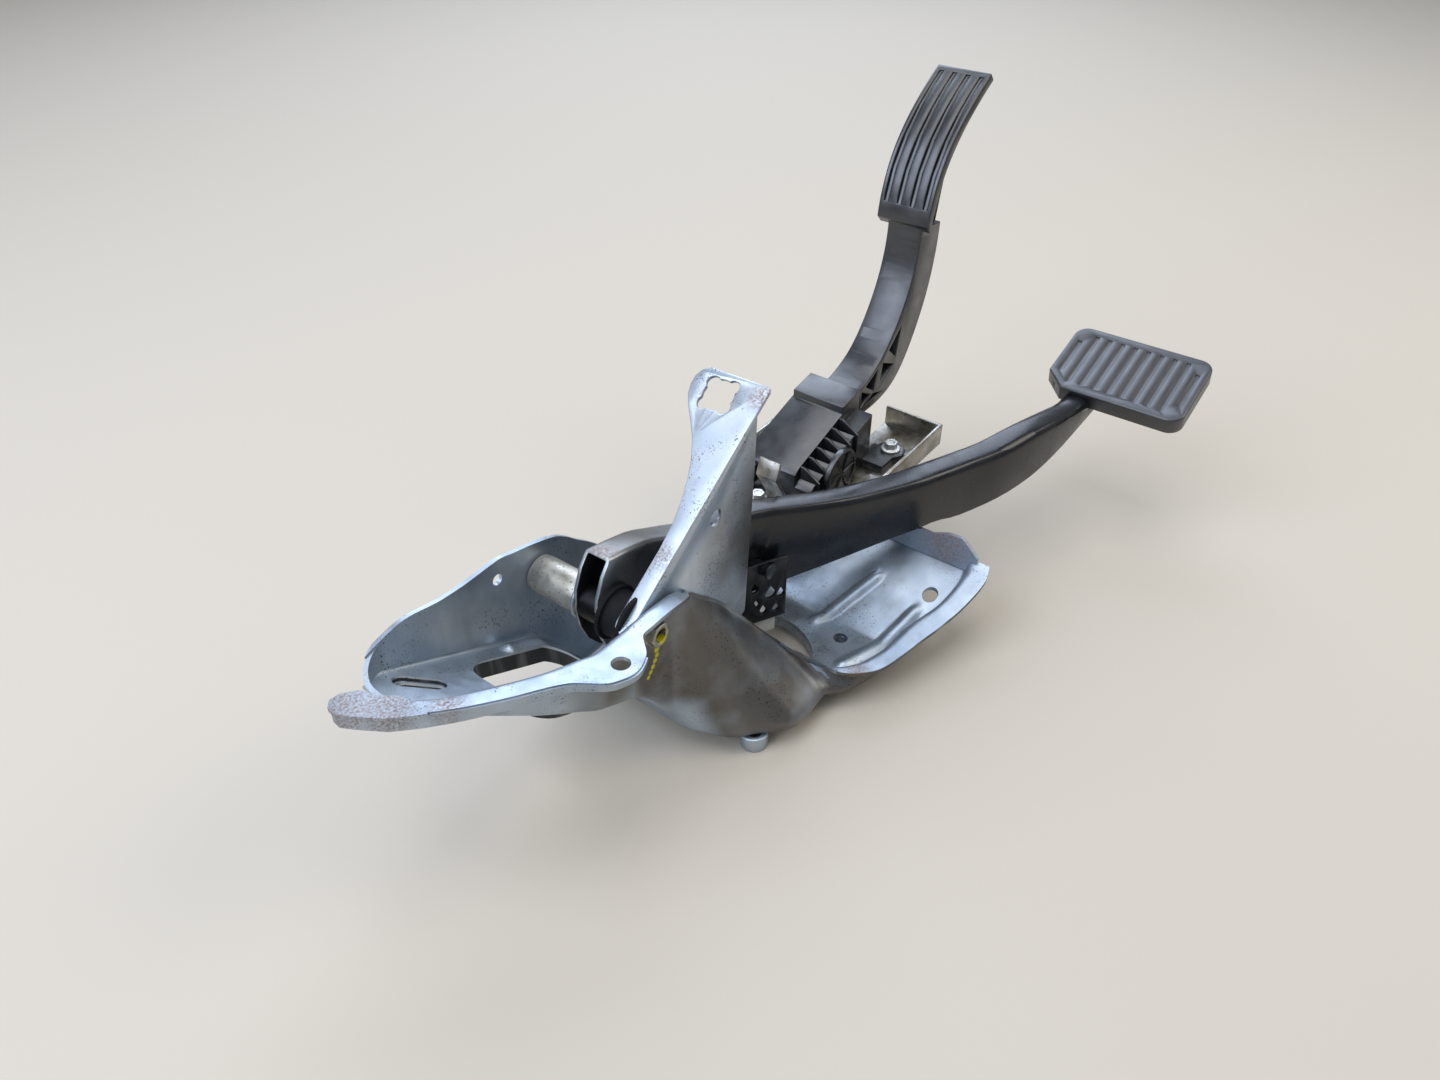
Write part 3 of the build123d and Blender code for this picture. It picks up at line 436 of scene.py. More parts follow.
@dataclass(frozen=True)
class DipPaint(Finish):
    """Black dip paint on steel: satin, with a slight orange peel, dust and rubbed patches."""

    rubbed: str = "#45484d"
    rubs: Mottle = Mottle(2.4, 0.68, 0.76)
    rub_areas: Mottle = Mottle(20, 0.5, 0.65)
    rub_share: float = 0.7
    dust: str = "#42464c"
    dusty: Mottle = Mottle(30, 0.42, 0.7, 4.0)
    dust_share: float = 0.1
    peel_mm: float = 1.6

    def dress(self, tree: Tree, shader: Node, place: Socket) -> None:
        """Dust, rubs and peel.

        Args:
            tree: The material's node tree.
            shader: Its principled shader.
            place: The piece's own coordinates, in metres.
        """
        dusted = times(tree, patches(tree, place, self.dusty), self.dust_share)
        colour = paint(tree, linear(self.colour), dusted, self.dust)
        rubs = times(tree, patches(tree, place, self.rubs), patches(tree, place, self.rub_areas),
                     self.rub_share)
        colour = paint(tree, colour, rubs, self.rubbed)
        peel = add(tree, "ShaderNodeTexNoise", {"Vector": place, "Scale": 1 / (self.peel_mm * MM),
                                                "Detail": 2.0})
        self.join(tree, shader, colour, self.uneven(tree, place), peel.outputs[0])


@dataclass(frozen=True)
class Moulding(Finish):
    """Moulded plastic or rubber with a fine spark-eroded grain, a little dust and an uneven gloss."""

    gloss: Mottle = Mottle(11, 0.3, 0.7)
    glossier: float = 0.05
    duller: float = 0.09
    grain_mm: float = 0.9
    bump: float = 0.25
    bump_mm: float = 0.1
    dust: str = "#4c5560"
    dusty: Mottle = Mottle(24, 0.45, 0.75, 4.0)
    dust_share: float = 0.12
    sheen: float = 1.0

    def dress(self, tree: Tree, shader: Node, place: Socket) -> None:
        """Grain, dust and uneven gloss.

        Args:
            tree: The material's node tree.
            shader: Its principled shader.
            place: The piece's own coordinates, in metres.
        """
        shader.inputs["Specular IOR Level"].default_value = self.sheen
        dusted = times(tree, patches(tree, place, self.dusty), self.dust_share)
        colour = paint(tree, linear(self.colour), dusted, self.dust)
        grain = add(tree, "ShaderNodeTexVoronoi", {"Vector": place, "Scale": 1 / (self.grain_mm * MM)})
        self.join(tree, shader, colour, self.uneven(tree, place), grain.outputs["Distance"])


# Rust on the base's sheared tip, on the pan's end and down its flange's edge.
TIP_RUST = (Zone(-232, 62, 121, 8, 20), Zone(-218, 46, 121, 6, 20), Zone(-200, 27, 120, 2, 14))
PAN_RUST = (Zone(119, -70, 58, 6, 24), Zone(119, -20, 62, 4, 26), Zone(3, -37, 33, 2, 9),
            Zone(14, -70, 29, 2, 10), Zone(-20, -3, 66, 1, 7), Zone(-8, -14, 49, 1, 7))
# Brown painted shade on the bulged near corner and along the pan's near wall.
NEAR_WALL_SHADE = (Zone(-66, -14, 78, 36, 50), Zone(-30, -52, 38, 44, 58), Zone(10, -90, 16, 31, 38),
             Zone(-120, -10, 88, 8, 40), Zone(50, -98, 14, 24, 32), Zone(92, -100, 44, 16, 28))
# Witness paint on the near wall: a dab below the pivot nut, and its run down from there.
WITNESS = (Zone(-88.5, -2.6, 90, 2.0, 3.4), Zone(-86.6, -2.4, 84, 1.4, 2.6), Zone(-86.8, -2.2, 80, 1.1, 1.9),
           Zone(-88.4, -2.2, 77, 1.2, 2.0), Zone(-90.2, -2.2, 74, 1.2, 2.0),
           Zone(-92.2, -2.2, 71.4, 1.1, 1.9), Zone(-94.2, -2.2, 69, 0.9, 1.8))

# Galvanised sheet: a pale blue-grey satin, and a copy browned as painted shade for the faces that look
# to the near side.
BASE_SHEET = BareSheet("bare_galvanised_sheet", "#b6c2ce", 0.85, 0.4, rusted=TIP_RUST + PAN_RUST,
                       witness=WITNESS)
NEAR_SIDE_SHADED_SHEET = replace(BASE_SHEET, name="galvanised_sheet_painted_shade", stain_and_shade_zones=NEAR_WALL_SHADE)
# The strut's sheet is paler, with stronger drawing lines, more pits and rust at its sheared edges.
STRUT_SHEET = BareSheet("bare_strut_sheet", "#c4ced8", 0.85, 0.4, cloud="#a8b2bc", pit_share=0.62,
                        line_depth=0.8, stain_and_shade_zones=(Zone(-2, 2, 110, 10, 60),),
                        rusted=(Zone(-70, 8, 134, 3, 12), Zone(0, 34, 187, 3, 12), Zone(12, 4, 190, 3, 12)))
# The root channel's sheet is a darker, warmer grey, with lines along it.
ROOT_SHEET = BareSheet("bare_channel_sheet", "#a2a8ab", 0.85, 0.36, cloud="#7f8382", line_axis=0,
                       line_depth=0.7, stain_and_shade_zones=(Zone(-60, 34, 110, 10, 50),),
                       rusted=(Zone(-84, 34, 133, 2, 12),))
# The turned-down lips are painted near black, with darker streaks, as painted shade.
LIP_PAINTED_SHADE = BareSheet("sheared_lip_painted_shade", "#3a3c40", 0.7, 0.42, cloud="#26282b", stain_and_shade="#1d1b1a")
# Zinc plate: warm and worn on the tube, olive on the pivot's bolt and nut, bright on the small fixings, and
# yellowed on the tray.
# Inside the root channel the tube is painted black, as shade.
TUBE_ZINC = PlatedSteel("zinc_hub_tube", "#c2bfb4", 0.75, 0.38, cloud="#9c9788", scuff="#5c574f",
                        scuff_share=0.6, painted_shade_zones=(Zone(-90, 33.5, 100, 12.7, 13.3),))
# The middle of the nut, round the bolt's end, is painted black, as shade in its hole.
OLIVE_ZINC = PlatedSteel("passivated_zinc", "#a9a79b", 0.9, 0.3, cloud="#8c887a",
                         painted_shade_zones=(Zone(-90, -5.5, 100, 3.4, 4.4),), witness=(Zone(-88, -7, 94.2, 3.0, 4.6),))
BRIGHT_ZINC = PlatedSteel("bright_zinc", "#c6c9cb", 0.95, 0.2, cloud="#9b9fa3", scuff_share=0.7)
TRAY_ZINC = PlatedSteel("tray_zinc", "#a7a59e", 0.9, 0.3, cloud="#837c6c", scuff_share=0.62)
# The hidden metals: dull grey wire, a dark bonded magnet and pale yellow tinned blades.
SPRING_WIRE = PlatedSteel("bare_spring_wire", "#8a8a88", 0.9, 0.35)
MAGNET = PlatedSteel("bonded_magnet", "#4a4a4c", 0.5, 0.55)
BLADE = PlatedSteel("tinned_brass", "#cfc39a", 0.9, 0.3)
# Blacks on steel: satin dip paint, phosphate with a little of the metal's sheen, and flat black painted
# shade inside the root channel.
ARM_PAINT = DipPaint("black_dip_paint", "#0f1014", 0.0, 0.24)
BLACK_PHOSPHATE = DipPaint("black_phosphate", "#1a1b1d", 0.3, 0.3, dust_share=0.15)
INNER_PAINTED_SHADE = DipPaint("channel_inside_painted_shade", "#060607", 0.0, 0.6, dust_share=0.02)
# Rubbers and plastics: satin blacks for the pad and the housing, near-black dead matt for the sleeve,
# which is partly painted shade, and plain colours for the small parts.
PAD_RUBBER = Moulding("moulded_rubber", "#14161b", 0.0, 0.34, grain_mm=1.1, bump=0.16, dust_share=0.14)
BLACK_NYLON = Moulding("black_glass_filled_nylon", "#101216", 0.0, 0.31, bump=0.12, dust_share=0.1)
SLEEVE_RUBBER_AND_SHADE = Moulding("sleeve_rubber_and_painted_shade", "#08080a", 0.0, 0.75, dust_share=0.03, sheen=0.25)
WHITE_PLASTIC = Moulding("off_white_plastic", "#dcdbd2", 0.0, 0.45, dust="#8f8b80")
BUSH_PLASTIC = Moulding("grey_bearing_plastic", "#8b8a85", 0.0, 0.5)
BOARD = Moulding("green_circuit_board", "#1f5a34", 0.0, 0.4, dust_share=0.1)


@dataclass(frozen=True)
class Edge:
    """How a mesh has its sharp edges rounded. With clamp, a rounding stops where it would meet another."""

    width_mm: float
    sharp_deg: float = SHARP_DEG
    segments: int = 2
    clamp: bool = False


def round_edges(shape: Shape, edge: Edge) -> None:
    """Rounds a mesh's sharp edges.

    Args:
        shape: The mesh.
        edge: Which edges are sharp, and how they are rounded.
    """
    sharp = [rim for rim in shape.edges
             if rim.is_manifold and rim.calc_face_angle(0) > math.radians(edge.sharp_deg)]
    bmesh.ops.bevel(shape, geom=sharp, offset=edge.width_mm * MM, offset_type="OFFSET", profile=0.5,
                    segments=edge.segments, affect="EDGES", clamp_overlap=edge.clamp, material=-1)


def outfit(piece: Piece, body: Body, finish: Finish, slot: str, *nodes: str) -> Piece:
    """Gives a new piece its material and body.

    Args:
        piece: The new object.
        body: What it moves with.
        finish: Its finish.
        slot: The record's slot; not used.
        nodes: CAD nodes it stands for.

    Returns:
        The same object.
    """
    piece.data.materials.clear()
    piece.data.materials.append(finish.material())
    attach(piece, body.value)
    if nodes:
        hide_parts(*nodes)
    LOG.info("%s: %d faces on %s", piece.name, len(piece.data.polygons), body.value)
    return piece


def from_bmesh(name: str, shape: Shape, sharp_deg: float = SHARP_DEG) -> Piece:
    """Makes an object of a bmesh, smooth but for its sharp edges.

    Args:
        name: The object's name.
        shape: The mesh, which is freed.
        sharp_deg: Edges sharper than this stay sharp.

    Returns:
        The new object, in the scene.
    """
    mesh = bpy.data.meshes.new(name)
    shape.to_mesh(mesh)
    shape.free()
    mesh.shade_smooth()
    mesh.set_sharp_from_angle(angle=math.radians(sharp_deg))
    piece = bpy.data.objects.new(name, mesh)
    bpy.context.scene.collection.objects.link(piece)
    return piece


def rounded_copy(node: str, edge: Edge) -> Piece:
    """Copies a CAD node with its triangles merged and its sharp edges rounded.

    Args:
        node: The CAD node.
        edge: How its edges are rounded.

    Returns:
        The new object, named for the node.
    """
    shape = bmesh.new()
    shape.from_mesh(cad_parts[node].data)
    bmesh.ops.remove_doubles(shape, verts=shape.verts, dist=SAME_CAD_POINT)
    bmesh.ops.dissolve_limit(shape, angle_limit=math.radians(FLAT_DEG), verts=shape.verts, edges=shape.edges)
    if edge.width_mm:
        round_edges(shape, edge)
    return from_bmesh(node + "_skin", shape, ROUNDED_SHARP_DEG)


class Station(NamedTuple):
    """A cross-section of the base, in millimetres.

    In order: x, the flange edge's y, the near wall's top y and z, the near foot's y, the floor's underside z,
    and the far wall's y and top z.
    """

    x: float
    flange: float
    wall: float
    top: float
    foot: float
    under: float
    far: float
    far_top: float


# The base's sheet thickness and the y of its far wall's inner face, in millimetres.
SHEET = 2.5
FAR_WALL = 77.5
STATIONS = tuple(Station(*row) for row in (
    (-213, 30, 44, 122, 44, 112.5, FAR_WALL, 121), (-198, 18, 31, 121, 31, 105.4, FAR_WALL, 126),
    (-180, 6.5, 20, 119.5, 20, 96.6, FAR_WALL, 129.5), (-156, -8, 7, 118, 7, 84.8, FAR_WALL, 126),
    (-142, -24, 2, 117, 2, 78, FAR_WALL, 125.5), (-130, -28, -2, 116.5, -2, 72, FAR_WALL, 126),
    (-118, -24, -2, 116, -2, 66, FAR_WALL, 126.5), (-106, -13, -2, 116, -2, 60, FAR_WALL, 124),
    (-92, -13, -2, 116, -2, 48, FAR_WALL, 121), (-76, -13, -2, 115, -4, 24, FAR_WALL, 116),
    (-68, -11, -2, 112, -16, 10, FAR_WALL, 111), (-60, -6, -2, 106, -36, 10, FAR_WALL, 104),
    (-50, -4, -2, 97, -46, 10, FAR_WALL, 96), (-31, -3.5, -2, 79, -63.5, 10, FAR_WALL, 78),
    (-7, -15.5, -14, 47, -67, 10, FAR_WALL, 56), (3, -42, -36, 32, -69, 10, 76, 50),
    (8, -63, -52.5, 27, -70.5, 10, 75, 48), (14, -73, -60.5, 27.5, -71.5, 10, 74, 46),
    (24, -82, -68.5, 29, -74, 10, 72, 44), (42, -87.5, -74.5, 31, -76.5, 10, 68, 43),
    (57, -91, -76, 32.7, -77.5, 10, 64, 43.5), (68, -94.5, -79, 35, -80, 15.5, 60, 44.5),
    (90, -100.5, -87, 41, -87.5, 28.5, 48, 48), (110, -103.5, -90, 48.5, -89.5, 37.8, 34, 56),
    (120, -101, -88, 52.5, -87.5, 41.7, 25, 62),
))
# The floor's slot: its x and y limits before it is turned, its corner radius and its turn in degrees.
SLOT = ((-201.5, -176.5), (56.8, 67.2), 5.15, -40.0)


def eased(stations: tuple[Station, ...], steps: int) -> list[Station]:
    """Adds stations between the given ones, on curves that don't pass their neighbours' values.

    Args:
        stations: The stations, in order of x.
        steps: How many spans each gap becomes.

    Returns:
        The denser stations.
    """
    gaps = [second.x - first.x for first, second in zip(stations, stations[1:])]
    slopes = []
    for column in range(1, len(stations[0])):
        rates = [(second[column] - first[column]) / gap
                 for first, second, gap in zip(stations, stations[1:], gaps)]
        inner = [2 * before * after / (before + after) if before * after > 0 else 0.0
                 for before, after in zip(rates, rates[1:])]
        slopes.append([rates[0], *inner, rates[-1]])
    dense = []
    for index, (first, second, gap) in enumerate(zip(stations, stations[1:], gaps)):
        for step in range(steps):
            t = step / steps
            row = [first.x + gap * t]
            for column, slope in enumerate(slopes, 1):
                value, rise = first[column], second[column] - first[column]
                start, end = slope[index] * gap, slope[index + 1] * gap
                row.append(value + start * t + (3 * rise - 2 * start - end) * t ** 2
                           + (start + end - 2 * rise) * t ** 3)
            dense.append(Station(*row))
    return [*dense, stations[-1]]


def floor_z(x: float) -> float:
    """Height of the base floor's upper face.

    Args:
        x: Where along the base, in millimetres.

    Returns:
        Its z in millimetres.
    """
    for first, second in zip(STATIONS, STATIONS[1:]):
        if first.x <= x <= second.x:
            share = (x - first.x) / (second.x - first.x)
            return first.under + (second.under - first.under) * share + SHEET
    return STATIONS[0].under + SHEET


def circle(x: float, y: float, radius: float, count: int) -> list[Pair]:
    """The points of a circle.

    Args:
        x: Its middle.
        y: Its middle.
        radius: Its radius.
        count: How many points.

    Returns:
        The points, in order.
    """
    turns = [2 * math.pi * step / count for step in range(count)]
    return [(x + radius * math.cos(turn), y + radius * math.sin(turn)) for turn in turns]


def rounded_box(x: Pair, y: Pair, radius: float, turn_deg: float = 0.0, count: int = 8) -> list[Pair]:
    """The points of a box with rounded corners, turned about its middle.

    Args:
        x: The box's limits in x before it is turned.
        y: Its limits in y.
        radius: Its corners' radius.
        turn_deg: How far it is turned, in degrees.
        count: Spans in each corner.

    Returns:
        The points, in order.
    """
    middle = Vector(((x[0] + x[1]) / 2, (y[0] + y[1]) / 2))
    half = Vector(((x[1] - x[0]) / 2 - radius, (y[1] - y[0]) / 2 - radius))
    points = []
    for quarter, (sx, sy) in enumerate(((1, 1), (-1, 1), (-1, -1), (1, -1))):
        for step in range(count + 1):
            angle = (quarter + step / count) * math.pi / 2
            point = Vector((sx * half.x + radius * math.cos(angle), sy * half.y + radius * math.sin(angle)))
            point.rotate(Matrix.Rotation(math.radians(turn_deg), 2))
            points.append(tuple(middle + point))
    return points


def prism(shape: Shape, outline: Outline, low: float, high: float, axis: int = 2) -> None:
    """Adds an outline pulled along an axis to a mesh.

    Args:
        shape: The mesh that it is added to.
        outline: Points in millimetres in the two other axes, in order.
        low: Where it starts along the axis.
        high: Where it ends.
        axis: 0, 1 or 2 for X, Y or Z.
    """
    corners = []
    for a, b in outline:
        spot = [a, b]
        spot.insert(axis, low)
        corners.append(shape.verts.new([value * MM for value in spot]))
    face = shape.faces.new(corners)
    pulled = bmesh.ops.extrude_face_region(shape, geom=[face], use_keep_orig=True)
    way = [0.0, 0.0, 0.0]
    way[axis] = (high - low) * MM
    top = [item for item in pulled["geom"] if isinstance(item, bmesh.types.BMVert)]
    bmesh.ops.translate(shape, verts=top, vec=way)
    bmesh.ops.recalc_face_normals(shape, faces=shape.faces)


def band(shape: Shape, path: Sequence[tuple[float, float, float, float]], sheet: float = SHEET) -> None:
    """Adds an upright strip of sheet along a plan path to a mesh.

    Args:
        shape: The mesh that it is added to.
        path: Points of x, y, lower z and upper z in millimetres, along one face of the strip.
        sheet: The strip's thickness, measured to the right of the path, or to the left when negative.
    """
    rows = []
    for index, (x, y, low, high) in enumerate(path):
        ahead, behind = path[min(index + 1, len(path) - 1)], path[max(index - 1, 0)]
        along = Vector((ahead[0] - behind[0], ahead[1] - behind[1])).normalized()
        side = Vector((along.y, -along.x)) * sheet
        corners = ((x, y, low), (x, y, high), (x + side.x, y + side.y, high), (x + side.x, y + side.y, low))
        rows.append([shape.verts.new([value * MM for value in corner]) for corner in corners])
    made = [shape.faces.new(rows[0]), shape.faces.new(rows[-1][::-1])]
    for first, second in zip(rows, rows[1:]):
        for index in range(4):
            after = (index + 1) % 4
            made.append(shape.faces.new((first[index], second[index], second[after], first[after])))
    bmesh.ops.recalc_face_normals(shape, faces=made)


def turned(profile: Outline, x: float, z: float, steps: int = 64) -> Shape:
    """A shape turned about an axis along Y.

    Args:
        profile: Points of radius and y in millimetres, going round the cut.
        x: Where the axis runs.
        z: Where the axis runs.
        steps: Facets in the turn.

    Returns:
        The closed mesh.
    """
    shape = bmesh.new()
    verts = [shape.verts.new(((x + radius) * MM, y * MM, z * MM)) for radius, y in profile]
    edges = [shape.edges.new((verts[index - 1], vert)) for index, vert in enumerate(verts)]
    bmesh.ops.spin(shape, geom=[*verts, *edges], cent=(x * MM, 0, z * MM), axis=(0, 1, 0), angle=2 * math.pi,
                   steps=steps, use_merge=True)
    bmesh.ops.remove_doubles(shape, verts=shape.verts, dist=SAME_POINT)
    bmesh.ops.recalc_face_normals(shape, faces=shape.faces)
    return shape


def cut(piece: Piece, cutters: Shape) -> None:
    """Takes a mesh away from a piece.

    Args:
        piece: The piece, whose mesh is replaced by the cut one.
        cutters: What is taken away, which is freed.
    """
    mesh = bpy.data.meshes.new("cutters")
    cutters.to_mesh(mesh)
    cutters.free()
    tool = bpy.data.objects.new("cutters", mesh)
    bpy.context.scene.collection.objects.link(tool)
    trim = piece.modifiers.new("holes", "BOOLEAN")
    trim.operation = "DIFFERENCE"
    trim.solver = "EXACT"
    trim.object = tool
    bpy.context.view_layer.update()
    done = bpy.data.meshes.new_from_object(piece.evaluated_get(bpy.context.evaluated_depsgraph_get()))
    piece.modifiers.clear()
    piece.data = done
    bpy.data.objects.remove(tool)


@dataclass(frozen=True)
class Copy:
    """A CAD node that is copied: its name, finish and slot, and the width of its rounded edges in mm."""

    node: str
    finish: Finish
    slot: str
    rounded: float


@dataclass
class Assembly:
    """A sub-assembly: the pieces copied from CAD nodes, and the nodes that keep their own mesh."""

    body: Body
    copies: tuple[Copy, ...] = ()
    kept: tuple[tuple[str, Finish], ...] = ()

    def build(self) -> None:
        """Makes the copies and dresses the kept nodes."""
        for copy in self.copies:
            piece = rounded_copy(copy.node, Edge(copy.rounded))
            outfit(piece, self.body, copy.finish, copy.slot, copy.node)
        for node, finish in self.kept:
            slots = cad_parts[node].data.materials
            slots.clear()
            slots.append(finish.material())
        self.extras()

    def extras(self) -> None:
        """Makes the pieces that no CAD node has."""


@dataclass(frozen=True)
class Bead:
    """A long bead pressed up in the floor: its ends in plan, half width and rise, in millimetres."""

    start: Pair
    end: Pair
    half_width: float
    rise: float


@dataclass
class Channel:
    """The base's channel as a dense sheet, so that its drawn corners are smooth. Sizes are in millimetres.

    A flange of full_flange or wider lies flat, and one of least_flange stands up in line with the wall.
    A bend reaches least_run or more along its sides, but never more than most_run of either's length.
    """

    bend: float = 5.5
    bend_steps: int = 8
    spans: tuple[int, ...] = (4, 14, 84, 6)
    stations_per_gap: int = 7
    least_flange: float = 3.0
    full_flange: float = 9.0
    least_run: float = 0.5
    most_run: float = 0.45
    beads: tuple[Bead, ...] = (Bead((27, -52), (82, -71), 4.6, 2.4), Bead((52, -17), (92, -37), 4.6, 2.4),
                               Bead((-124, 71), (-104, 71), 6.0, 3.5))

    def pressed(self, x: float, y: float) -> float:
        """How far the floor is pressed up at a plan point.

        Args:
            x: The point, in millimetres.
            y: The point, in millimetres.

        Returns:
            The height in millimetres, which is 0 away from the beads.
        """
        height = 0.0
        for bead in self.beads:
            start = Vector(bead.start)
            along = Vector(bead.end) - start
            share = max(0.0, min(1.0, (Vector((x, y)) - start).dot(along) / along.length_squared))
            gap = (Vector((x, y)) - start - along * share).length / bead.half_width
            if gap < 1:
                height = max(height, bead.rise * (1 - gap * gap) ** 1.5)
        return height

    def track(self, station: Station) -> list[Vector]:
        """The sheet's middle line at a station, as points in Y and Z.

        Args:
            station: One of STATIONS, or between two of them.

        Returns:
            As many points for every station.
        """
        x, flange, wall, top, foot, under, far, far_top = station
        half = SHEET / 2
        reach = max(wall - flange, self.least_flange)
        unfolded = (self.full_flange - reach) / (self.full_flange - self.least_flange)
        lift = min(math.atan2(top - under, foot - wall), math.pi / 2) * max(0.0, min(1.0, unfolded))
        fold = Vector((wall + half, top - half - (reach - half) * math.sin(lift)))
        line = [fold + Vector((-reach * math.cos(lift), reach * math.sin(lift))), fold,
                Vector((foot + half, under + half)), Vector((far + half, under + half)),
                Vector((far + half, far_top))]
        bends = []
        for before, corner, after in zip(line, line[1:], line[2:]):
            way_in, way_out = before - corner, after - corner
            turn = math.pi - way_in.angle(way_out)
            run = min(max(self.bend * math.tan(turn / 2), self.least_run), self.most_run * way_in.length,
                      self.most_run * way_out.length)
            start, end = corner + way_in.normalized() * run, corner + way_out.normalized() * run
            shares = [step / self.bend_steps for step in range(self.bend_steps + 1)]
            bends.append([start * (1 - t) ** 2 + corner * 2 * t * (1 - t) + end * t ** 2 for t in shares])
        points = [line[0]]
        for count, bend in zip(self.spans, [*bends, [line[-1]]]):
            origin = points[-1]
            points += [origin.lerp(bend[0], step / count) for step in range(1, count)]
            points += bend
        for point in points:
            if math.isclose(point.y, under + half, abs_tol=0.01, rel_tol=0.0):
                point.y += self.pressed(x, point.x)
        return points

    def outline(self, station: Station) -> list[Vector]:
        """The sheet's closed cut outline at a station.

        Args:
            station: One of STATIONS, or between two of them.

        Returns:
            Its points in metres, along one face and back along the other.
        """
        points = self.track(station)
        left, right = [], []
        for index, point in enumerate(points):
            ahead = points[min(index + 1, len(points) - 1)]
            behind = points[max(index - 1, 0)]
            along = (ahead - behind).normalized()
            side = Vector((-along.y, along.x)) * SHEET / 2
            left.append(point + side)
            right.append(point - side)
        return [Vector((station.x, point.x, point.y)) * MM for point in left + right[::-1]]

    def shape(self) -> Shape:
        """Wraps a grid round the outlines.

        Returns:
            The closed sheet.
        """
        rows = [self.outline(station) for station in eased(STATIONS, self.stations_per_gap)]
        across, along = len(rows[0]), len(rows) - 1
        sheet = bmesh.new()
        bmesh.ops.create_grid(sheet, x_segments=along, y_segments=across, size=1.0)
        for vert in sheet.verts:
            column = round((vert.co.x + 1) / 2 * along)
            row = round((vert.co.y + 1) / 2 * across) % across
            vert.co = rows[column][row]
        bmesh.ops.remove_doubles(sheet, verts=sheet.verts, dist=SAME_POINT)
        bmesh.ops.holes_fill(sheet, edges=[edge for edge in sheet.edges if edge.is_boundary], sides=0)
        bmesh.ops.recalc_face_normals(sheet, faces=sheet.faces)
        return sheet


@dataclass(frozen=True)
class Hole:
    """A round hole, in millimetres: its middle across its axis, its radius and its cutter's span along it."""

    middle: Pair
    radius: float
    span: Pair
    axis: int = 2
    facets: int = 24

    def drill(self, cutters: Shape) -> None:
        """Adds the hole's cutter to a mesh.

        Args:
            cutters: The mesh.
        """
        prism(cutters, circle(*self.middle, self.radius, self.facets), *self.span, self.axis)


